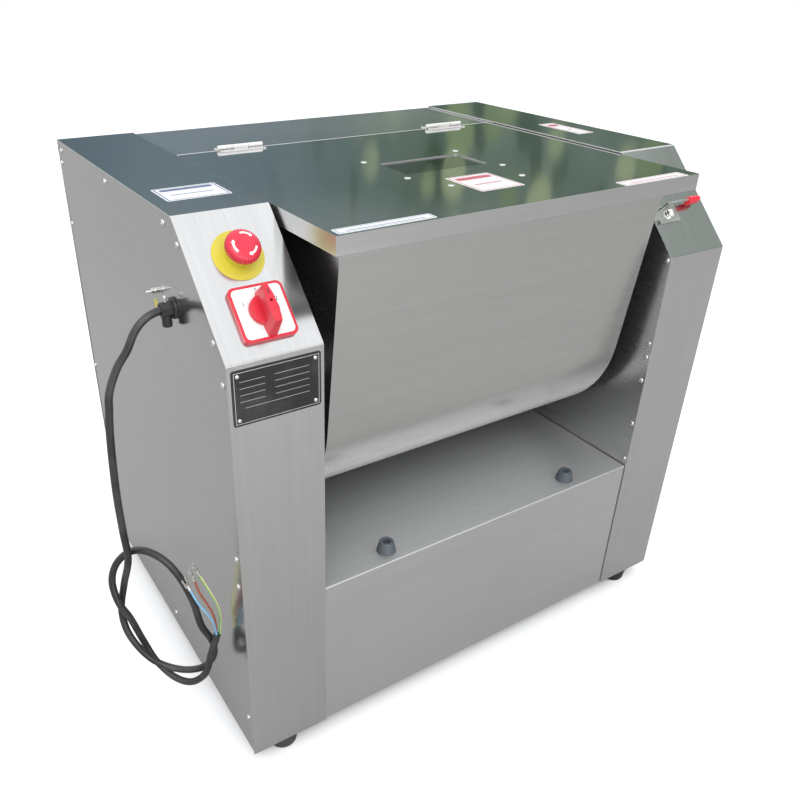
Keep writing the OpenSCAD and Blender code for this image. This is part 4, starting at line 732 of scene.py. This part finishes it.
# Working parts inside the cabinet
WORKS = [
    ("base_frame", FRAME_PAINT, 0.5), ("left_frame_plate", FRAME_PAINT, 0.6),
    ("right_frame_plate", FRAME_PAINT, 0.6), ("outboard_bracket", FRAME_PAINT, 0.6),
    ("foot_studs", BRIGHT_STEEL, 0.4), ("shaft_bearings", BEARING_PAINT, 1.0),
    ("counter_bearings", BEARING_PAINT, 0.8), ("motor", MOTOR_PAINT, 0.4),
    ("fan_cover", MOTOR_PAINT, 0.8), ("main_gear", CAST_IRON, 0.3), ("pinion", CAST_IRON, 0.3),
    ("big_pulley", CAST_IRON, 0.5), ("motor_pulley", CAST_IRON, 0.5),
    ("mixing_shaft", SHAFT_STEEL, 1.0), ("countershaft", SHAFT_STEEL, 1.0),
    ("motor_shaft", SHAFT_STEEL, 1.0), ("paddles", PADDLE_STEEL, 1.2),
    ("trunnion_bushes", BRONZE, 0.4), ("shaft_seals", SEAL_RUBBER, 0.4),
    ("drive_belt", BELT_RUBBER, 0.3), ("gland_nut", GLAND_NYLON, 0.6),
    ("switch_body", SWITCH_GREY, 0.8), ("estop_body", ESTOP_YELLOW, 0.5),
    ("estop_stem", ESTOP_RED, 0.4)]
for part, finish, radius in WORKS:
    softened(part, finish, radius, 2)


# Small hardware

def pan_head(name):
    """A pan-head screw with a cross recess, its head's underside on z 0."""
    head = turned(name, [(1.9, -6), (1.9, 0), (3.7, 0), (4.0, 0.35), (3.85, 1.0), (3.2, 1.6),
                         (2.1, 1.93), (0.8, 2.0)], 28)
    for turn in (0, 90):
        slot = block("recess", (3.9, 0.9, 2.4), (0, 0, 0.9))
        edit(slot)
        choose(slot, "FACE", lambda face: face.normal.z < -0.9)
        bpy.ops.transform.resize(value=(0.35, 0.8, 1), center_override=(0, 0, 0.9 * MM))
        put_down()
        slot.matrix_world = Matrix.Rotation(math.radians(turn), 4, "Z")
        apply_modifier(head, "BOOLEAN", operation="DIFFERENCE", object=slot, solver="EXACT")
        bpy.data.objects.remove(slot)
    return head


OUTER_SCREWS = [(587.5, k * CABINET_H) for k in (0.493, 0.829, 0.955)] \
    + [(SLOPE_RUN + k * (594.5 - SLOPE_RUN) - 14, 721) for k in (0.09, 0.539, 1)] \
    + [(k * SLOPE_RUN + 14, FRONT_H + k * SLOPE_RISE - 3.5) for k in (0.14, 0.8)] \
    + [(14, k * FRONT_H + 14) for k in (0.08, 0.471, 0.542, 0.931)] + [(297.25, 26.4)]
INNER_SCREWS = [(7, k * (FRONT_H - LEDGE_Z) + LEDGE_Z)
                for k in (0.034, 0.221, 0.44, 0.552, 0.616, 0.985)]


def make_screws():
    places = []
    for side in (-1, 1):
        for i, (y, z) in enumerate(OUTER_SCREWS):
            x = PANEL_INSET if side < 0 else CABINET_W - PANEL_INSET
            places.append(facing(x, y, z, (side, 0, 0), 37 * i + 11))
        for i, (y, z) in enumerate(INNER_SCREWS):
            x = COLUMN_W - PANEL_INSET if side < 0 else CABINET_W - COLUMN_W + PANEL_INSET
            places.append(facing(x, y, z, (-side, 0, 0), 53 * i + 5))
    fitted(set_of("panel_screw_set", pan_head("pan_head"), places), BRIGHT_STEEL,
           stands_for=["panel_screws"])


def dome_rivet(name, radius, height, shank):
    return turned(name, [(2, -shank), (2, 0), (radius * 0.97, 0), (radius, height * 0.12),
                         (radius * 0.93, height * 0.45), (radius * 0.7, height * 0.8),
                         (radius * 0.3, height)], 32)


def make_rivets():
    x0, y0 = WINDOW_AT
    frame_places = [(x0 + sx * 80, y0 + sy * 52) for sx in (-1, 1) for sy in (-1, 1)]
    spare_places = [(x0 - 54, y0 - 109), (x0 + 62, y0 - 111)]
    fitted(set_of("lid_rivet_set", dome_rivet("rivet", 4.5, 1.2, 3.4),
                  [upright(x, y, LID_Z) for x, y in frame_places + spare_places]),
           BRIGHT_STEEL, "lid", ["lid_rivets"])
    x0, z0 = NAMEPLATE_AT
    corners = [(x0 + sx * 47, z0 + sz * 26.5) for sx in (-1, 1) for sz in (-1, 1)]
    fitted(set_of("nameplate_rivet_set", dome_rivet("plate_rivet", 2.5, 1.2, 0.5),
                  [facing(x, NAMEPLATE_FACE, z, (0, -1, 0)) for x, z in corners]),
           BRIGHT_STEEL, stands_for=["nameplate_rivets"])


make_screws()
make_rivets()
for part in ("lid_hinge_leaves", "fixed_hinge_leaves", "hinge_pins"):
    softened(part, HINGE_STEEL, 0.35)


# Feet and bumpers

def make_feet():
    foot = turned("foot", [(5.2, -12), (5.2, 0), (22.5, 0), (24, -0.8), (24, -4.2), (23.2, -5.2),
                           (22.6, -9), (21.4, -17), (20.6, -23), (19.6, -24.8), (18.6, -25),
                           (9, -25), (8, -23.5), (5, -23.5)], 56)
    fitted(set_of("foot_set", foot, [upright(x, y, 0) for x in (56, 754) for y in (24.5, 571.5)]),
           FOOT_RUBBER, stands_for=["feet"])


def make_bumpers():
    places = [upright(CABINET_W / 2 + side * 0.602 * LEDGE_W / 2, 27, LEDGE_Z) for side in (-1, 1)]
    bumper = turned("bumper", [(2.8, 0), (13.5, 0), (14, 0.5), (13.4, 3), (11.2, 12), (10.4, 15.2),
                               (9.6, 16), (6.4, 16), (5.7, 15.4), (5.5, 8), (2.8, 8), (2.8, 0)], 48,
                    ring=True)
    fitted(set_of("bumper_set", bumper, places), BUMPER_RUBBER,
           stands_for=["ledge_bumpers"])
    screw = turned("bumper_screw", [(2.45, 0.2), (2.45, 8), (4.7, 8), (4.9, 8.4), (4.6, 9.4),
                                    (3.2, 10), (1.2, 10)], 32)
    fitted(set_of("bumper_screw_set", screw, places), BRIGHT_STEEL,
           stands_for=["bumper_screws"])


make_feet()
make_bumpers()


# Emergency stop

def make_estop():
    softened("estop_disc", ESTOP_YELLOW, 0.3, name="estop_disc_plate")
    head = turned("estop_mushroom", [
        (5.05, 6.2), (5.05, 0), (15.5, 0), (18.6, 0.2), (19.6, 0.9), (20, 2), (20, 6.6),
        (19.5, 8.2), (18.2, 9.6), (15.8, 11.2), (12.6, 12.3), (8.2, 12.9), (7.8, 12.6), (7.2, 12.7),
        (3, 12.95)], 144)
    edit(head)
    rim, foot, side_angle, notch_sides = 17.5 * MM, 0.5 * MM, 2.5, 4

    def notch(vert):
        place = vert.co
        step = round(math.degrees(math.atan2(place.y, place.x)) / side_angle)
        return place.xy.length > rim and place.z > foot and step % notch_sides >= notch_sides / 2
    choose(head, "VERT", notch)
    bpy.ops.transform.resize(value=(0.955, 0.955, 1), center_override=(0, 0, 0))
    put_down()
    place = on_slope(*ESTOP_AT, ESTOP_COLLAR_H)
    arrows = []
    for index in range(3):
        arrow = block(f"arrow_{index}", (2.3, 0.9, 0.5), (12.9, 0, 14))
        edit(arrow)
        choose(arrow, "FACE", lambda face: face.normal.y < -0.9)
        for step in range(7):
            bpy.ops.mesh.extrude_region_move(TRANSFORM_OT_translate={"value": (0, 0, 0)})
            bpy.ops.transform.rotate(value=math.radians(6.5), orient_axis="Z",
                                     center_override=(0, 0, 0))
        bpy.ops.mesh.extrude_region_move(TRANSFORM_OT_translate={"value": (0, 0, 0)})
        bpy.ops.transform.resize(value=(2.1, 2.1, 1))
        bpy.ops.mesh.extrude_region_move(TRANSFORM_OT_translate={"value": (0, 0, 0)})
        bpy.ops.transform.rotate(value=math.radians(15), orient_axis="Z", center_override=(0, 0, 0))
        bpy.ops.transform.resize(value=(0.12, 0.12, 1))
        put_down()
        arrow.matrix_world = Matrix.Rotation(math.radians(120 * index + 95), 4, "Z")
        arrows.append(arrow)
    arrows = joined("estop_arrows", arrows)
    hold(arrows)
    bpy.ops.object.transform_apply(location=True, rotation=True, scale=True)
    edit(arrows)
    bpy.ops.mesh.normals_make_consistent(inside=False)
    bpy.ops.mesh.subdivide(number_cuts=1)
    put_down()
    for vert in arrows.data.vertices:
        far = vert.co.xy.length / MM
        lift = 0.22 if vert.co.z > 14.25 * MM else -0.2
        crown = 12.9 - 0.136 * (far - 8.2) if far < 12.6 else 12.3 - 0.344 * (far - 12.6)
        vert.co.z = (crown + lift) * MM
    fitted(arrows, ARROW_WHITE, "estop_head", place=place)
    fitted(head, ESTOP_RED, "estop_head", ["estop_head"], place)


make_estop()


# Rotary switch

def make_switch():
    softened("switch_bezel", SWITCH_RED, 1.0, 3, name="switch_bezel_frame")
    softened("switch_face", SWITCH_WHITE, 0.1, name="switch_face_plate")
    base = turned("knob_base", [(15.2, 0), (16.6, 0.2), (17, 0.8), (17, 5.4), (16.5, 6.4),
                                (15.6, 7), (3, 7)], 72)
    width, length, height, base_z = 12, 52, 28, 0.3
    grip = block("knob_grip", (width, length, height), (0, 0, base_z))
    edit(grip)
    bpy.ops.mesh.subdivide(number_cuts=6)
    put_down()
    for vert in grip.data.vertices:
        share, up = vert.co.y / MM / length + 0.5, (vert.co.z / MM - base_z) / height
        low, high = -30 + 6 * up, 22 - 2.5 * up
        y = low + (high - low) * share
        pinch = 1 - 0.6 * max(0, y - high + 13) / 13 - 0.2 * max(0, low + 6 - y) / 6
        vert.co.x *= pinch * (1 - 0.16 * up)
        vert.co.y = y * MM
    round_edges(grip, 0.9, 3)
    hole = turned("hole", [(1.7, 16), (1.7, 30)], 24)
    apply_modifier(grip, "BOOLEAN", operation="DIFFERENCE", object=hole, solver="EXACT")
    bpy.data.objects.remove(hole)
    spindle = turned("spindle", [(3, -24), (3, 4)], 24)
    knob = joined("switch_handle", [base, grip, spindle])
    place = on_slope(*SWITCH_AT, SWITCH_BEZEL_H)
    dash = plate("handle_mark", 1.3, 6, 0.3, 0.4)
    fitted(dash, INK, "switch_knob",
           place=place @ Matrix.Translation((0, 10 * MM, 28.05 * MM)))
    fitted(knob, SWITCH_RED, "switch_knob", ["switch_knob"], place)
    face = on_slope(*SWITCH_AT, 5.85)
    for text, angle in (("1", 60), ("0", 0), ("2", -60)):
        put_down()
        bpy.ops.object.text_add()
        mark = bpy.context.object
        mark.data.body = text
        mark.data.align_x, mark.data.align_y = "CENTER", "CENTER"
        mark.data.size = (7.5 if angle else 5.5) * MM
        mark.data.extrude = 0.06 * MM
        hold(mark)
        bpy.ops.object.convert(target="MESH")
        mark = bpy.context.object
        mark.name = "switch_mark_" + text
        reach = 22.5 if angle else 25.6
        aim = math.radians(angle)
        spot = Matrix.Translation((-math.sin(aim) * reach * MM, math.cos(aim) * reach * MM,
                                   0.04 * MM))
        fitted(mark, INK, place=face @ spot)


make_switch()


# Nameplate with blank lines, and blank labels

def strips(name, rows, thickness, finish, place, body="cabinet"):
    """Thin raised bars, each (x, y, width, height), on one plate."""
    bars = []
    for i, (x, y, width, height) in enumerate(rows):
        bar = plate(f"{name}_{i}", width, height, thickness, min(width, height) * 0.3, 2)
        bar.matrix_world = Matrix.Translation((x * MM, y * MM, 0))
        bars.append(bar)
    return fitted(joined(name, bars), finish, body, place=place)


def frame_bars(width, height, bar):
    """Four bars round a field: bottom and top, then the sides between them."""
    return [(0, height / 2 - bar / 2, width, bar), (0, bar / 2 - height / 2, width, bar),
            (width / 2 - bar / 2, 0, bar, height - 2 * bar),
            (bar / 2 - width / 2, 0, bar, height - 2 * bar)]


def make_nameplate():
    softened("nameplate", PLATE_BLACK, 0.2, name="nameplate_blank")
    x, z = NAMEPLATE_AT
    face = facing(x, NAMEPLATE_FACE, z, (0, -1, 0), 180)
    rows = frame_bars(103, 62, 0.7)
    rows += [(0, 12.5, 78, 0.5)]
    rows += [(-18, 4.5 - 8 * i, 42, 0.5) for i in range(4)]
    rows += [(30, 4.5 - 8 * i, 30, 0.5) for i in range(4)]
    strips("nameplate_rules", rows, 0.12, PLATE_SILVER, face)


def make_labels():
    labels = [
        ("lid_label", (404, 88, LID_Z), (70, 75), "lid", LABEL_ROSE),
        ("lid_left_strip", (191, -3.5, LID_Z), (126, 17), "lid", LABEL_BLUE),
        ("lid_right_strip", (608, -6.5, LID_Z), (120, 20), "lid", LABEL_ROSE),
        ("left_housing_label", (59, 210, CABINET_H), (80, 58), "cabinet", LABEL_BLUE),
        ("right_housing_label", (758, 301, CABINET_H), (33, 96), "cabinet", LABEL_ROSE)]
    for name, spot, (width, depth), body, colour in labels:
        sheet = round_edges(plate(name, width, depth, 0.18, 2.5), 0.05, 1)
        fitted(sheet, LABEL_WHITE, body, place=upright(*spot))
        rows = frame_bars(width - 4, depth - 4, 1.6 if depth > 30 else 1)
        if depth > 30:
            rows += [(0, depth * 0.3, width - 14, depth * 0.16)]
        rows += [(0, -depth * 0.1, width - 26, max(1.6, depth * 0.04))]
        print_place = upright(*spot) @ Matrix.Translation((0, 0, 0.16 * MM))
        strips(name + "_rule", rows, 0.06, colour, print_place, body)
    dot = turned("earth_dot", [(6.4, 0), (6.5, 0.1), (6.4, 0.2)], 40)
    fitted(dot, ESTOP_YELLOW, place=on_left_side(*EARTH_DOT_AT))


make_nameplate()
make_labels()


# Cable gland and earth stud

def make_gland():
    place, half_way = on_left_side(*GLAND_AT), Matrix.Translation((0, 0, 10 * MM))
    flange = turned("gland_flange", [(5.2, -14), (8, -14), (8, 0), (12.5, 0), (13, 0.5), (13, 2.7),
                                     (12.3, 3.5), (5.2, 3.5), (5.2, -14)], 56, ring=True)
    clamp = round_edges(turned("gland_hex", [(9.5, 3.2), (9.5, 17)], 6), 0.7, 3)
    mouth = turned("gland_mouth", [(5.2, 13.2), (5.5, 14), (6.5, 17), (6.6, 18)], 48)
    apply_modifier(clamp, "BOOLEAN", operation="DIFFERENCE", object=mouth, solver="EXACT")
    bpy.data.objects.remove(mouth)
    boss = turned("gland_boss", [(6, 0), (6, 19.4), (5.5, 20.6), (4.4, 21), (2.4, 21), (2.2, 19)],
                  40)
    boss.matrix_world = half_way @ Matrix.Rotation(math.radians(90), 4, "X")
    fitted(joined("gland_finished", [flange, clamp, boss]), GLAND_NYLON,
           stands_for=["cable_gland"], place=place)
    screw = turned("gland_clamp_screw", [(1.4, 8), (1.4, 12.6), (2.2, 12.6), (2.35, 13),
                                         (2.35, 15.4), (1.9, 16.2), (0.8, 16.5)], 28)
    fitted(screw, BRIGHT_STEEL,
           place=place @ half_way @ Matrix.Rotation(math.radians(-90), 4, "X"))


def threaded(name, radius, low, high, pitch=1.0, sides=32):
    """A screw thread drawn as closely spaced grooves."""
    root, run_out = radius * 0.88, 0.3
    profile, z = [(root, low)], low + run_out
    while z + pitch < high - run_out:
        profile += [(radius, z + pitch * 0.3), (radius, z + pitch * 0.5), (root, z + pitch * 0.85)]
        z += pitch
    return turned(name, profile + [(radius * 0.86, high)], sides)


def hex_nut(name, across, low, high, bore):
    profile = [(bore, low), (across, low), (across, high), (bore, high), (bore, low)]
    return round_edges(turned(name, profile, 6, ring=True), 0.35, 2, 20)


def make_earth_stud():
    pieces = [threaded("stud", 2, -12, 15, 0.7), hex_nut("nut_a", 4, 0, 4, 1.9),
              hex_nut("nut_b", 4, -5.5, -1.5, 1.9),
              turned("washer", [(1.9, 4), (4.4, 4), (4.5, 4.15), (4.5, 4.85), (4.4, 5), (1.9, 5),
                                (1.9, 4)], 40, ring=True),
              hex_nut("nut_c", 4, 5, 9, 1.9)]
    fitted(joined("earth_stud_finished", pieces), BRIGHT_STEEL,
           stands_for=["earth_stud"], place=on_left_side(*EARTH_STUD_AT))


make_gland()
make_earth_stud()


# Trough latch

def make_latch():
    softened("latch_lever", LATCH_STEEL, 0.7, 3, name="latch_lever_plate")
    pivot = on_slope(*LATCH_AT)
    place = pivot @ Matrix.Translation((37 * MM, 11.5 * MM, 9.3 * MM)) \
        @ Matrix.Rotation(math.radians(90), 4, "Y")
    grip = turned("latch_grip_dipped", [(7.0, 0), (7.8, 0.5), (8.3, 2), (8.5, 5), (8.5, 18),
                                        (8.1, 21), (7.0, 23.6), (5, 25.2), (2, 26)], 64)
    grip.matrix_world = Matrix.Diagonal((1, 0.645, 1, 1))
    fitted(grip, GRIP_RED, "latch_lever", ["latch_grip"], place)
    bolt = [turned("washer", [(4, 3.6), (8.8, 3.6), (9, 3.8), (9, 4.9), (8.8, 5.1), (4, 5.1),
                              (4, 3.6)], 48, ring=True),
            turned("dome_head", [(8, 5.1), (8, 5.5), (7.7, 7), (6.7, 8.4), (5.2, 9.4), (3, 10),
                                 (1, 10.1)], 48),
            hex_nut("nut_b", 7.5, -6.5, -1.5, 3.9), threaded("bolt", 4, -11.5, 5, 1.25)]
    fitted(joined("latch_bolt_finished", bolt), BRIGHT_STEEL,
           stands_for=["latch_bolt"], place=pivot)


make_latch()


# Studio: a pale floor, a bright front sky, and the dim garden that the flat tops look back to

WHITE = (1.0, 1.0, 1.0, 1)
AIM = (0, 0, 0.35)


def make_floor():
    put_down()
    bpy.ops.mesh.primitive_plane_add(size=40, location=(0, 0, -0.0005))
    floor = bpy.context.object
    floor.name = "studio_floor"
    finish, tree, surface, where = new_finish("Studio floor")
    seen = add(tree, "LightPath").outputs["Is Camera Ray"]
    mottled = noise(tree, where, 1.2, 2, 0.5)
    front = spread(tree, add(tree, "SeparateXYZ", [where]).outputs["Y"], 0.1, -0.5)
    tone = tint(tree, front, (0.39, 0.385, 0.38, 1), (0.375, 0.37, 0.362, 1))
    tone = tint(tree, spread(tree, mottled, 0.3, 0.7, 0, 0.25), tone, (0.34, 0.335, 0.33, 1))
    connect(tree, surface, Base_Color=tint(tree, seen, tone, (0.96, 0.96, 0.96, 1)), Roughness=0.9)
    floor.data.materials.append(finish)


def make_surroundings():
    world = bpy.data.worlds.new("Studio surroundings")
    world.use_nodes = True
    bpy.context.scene.world = world
    tree = world.node_tree
    tree.nodes.clear()
    looking = add(tree, "TexCoord").outputs["Generated"]
    height = add(tree, "SeparateXYZ", [looking]).outputs["Z"]

    def towards(x, y, z, low, high):
        aim = add(tree, "VectorMath", [looking, (x, y, z)], {"operation": "DOT_PRODUCT"})
        return spread(tree, aim.outputs["Value"], low, high)
    # Leaves and stalks before a dim hedge
    flat = add(tree, "Mapping", Vector=looking, Scale=(1, 1, 0.45)).outputs[0]
    leaf = add(tree, "TexVoronoi", Vector=flat, Scale=26.0)
    tone = add(tree, "SeparateColor", [leaf.outputs["Color"]]).outputs
    leaves = math_node(tree, "MULTIPLY", spread(tree, leaf.outputs["Distance"], 0.42, 0.34),
                       spread(tree, noise(tree, looking, 5.0, 3, 0.6, 0.8), 0.46, 0.54))
    tall = add(tree, "Mapping", Vector=looking, Scale=(1, 1, 0.12)).outputs[0]
    stalks = spread(tree, noise(tree, tall, 34.0, 1, 0.4, 0.3), 0.60, 0.64)
    hedge = tint(tree, spread(tree, noise(tree, looking, 7.0, 4, 0.6, 0.6), 0.35, 0.7),
                 (0.09, 0.145, 0.11, 1), (0.20, 0.265, 0.23, 1))
    hedge = tint(tree, math_node(tree, "MULTIPLY", stalks, 0.6), hedge, (0.05, 0.085, 0.055, 1))
    lit = tint(tree, tone[0], (0.17, 0.25, 0.13, 1), (0.42, 0.50, 0.30, 1))
    green = tint(tree, math_node(tree, "MULTIPLY", leaves, 0.85), hedge, lit)
    slate = tint(tree, spread(tree, noise(tree, looking, 2.2, 2, 0.5), 0.3, 0.7),
                 (0.115, 0.165, 0.20, 1), (0.21, 0.275, 0.315, 1))
    garden = tint(tree, towards(0.843, -0.537, 0, -0.16, 0.06), slate, green)
    garden = tint(tree, spread(tree, height, 0.24, 0.34, 0, 0.8), garden, (0.36, 0.42, 0.43, 1))
    garden = tint(tree, spread(tree, height, 0.115, 0.075), garden, WHITE)
    sky = tint(tree, spread(tree, height, 0.0, 0.75), WHITE, (1.4, 1.42, 1.45, 1))
    all_round = tint(tree, towards(0.574, 0.819, 0, 0.845, 0.895), sky, garden)
    trees = tint(tree, spread(tree, noise(tree, looking, 4.0, 3, 0.6), 0.3, 0.7),
                 (0.28, 0.33, 0.29, 1), (0.44, 0.49, 0.46, 1))
    all_round = tint(tree, towards(0.93, -0.25, 0.26, 0.84, 0.93), all_round, trees)
    seen = add(tree, "LightPath").outputs["Is Camera Ray"]
    colour = tint(tree, seen, all_round, WHITE)
    light = add(tree, "Background", Color=colour, Strength=1.0)
    tree.links.new(light.outputs[0], add(tree, "OutputWorld").inputs[0])


def soft_light(name, spot, size, power, glossy=True):
    lamp = bpy.data.lights.new(name, "AREA")
    lamp.shape = "DISK"
    lamp.size = size
    lamp.energy = power
    holder = bpy.data.objects.new(name, lamp)
    bpy.context.scene.collection.objects.link(holder)
    aim = (Vector(AIM) - Vector(spot)).to_track_quat("-Z", "Y").to_matrix().to_4x4()
    holder.matrix_world = Matrix.Translation(spot) @ aim
    holder.visible_camera = False
    holder.visible_glossy = glossy


make_floor()
make_surroundings()
soft_light("key_light", (-1.6, -2.2, 2.8), 1.8, 34)
soft_light("fill_light", (2.4, -1.6, 2.2), 1.6, 12, False)
soft_light("low_light", (-0.3, -2.4, 0.55), 1.2, 14)
bpy.context.scene.view_settings.view_transform = "Standard"
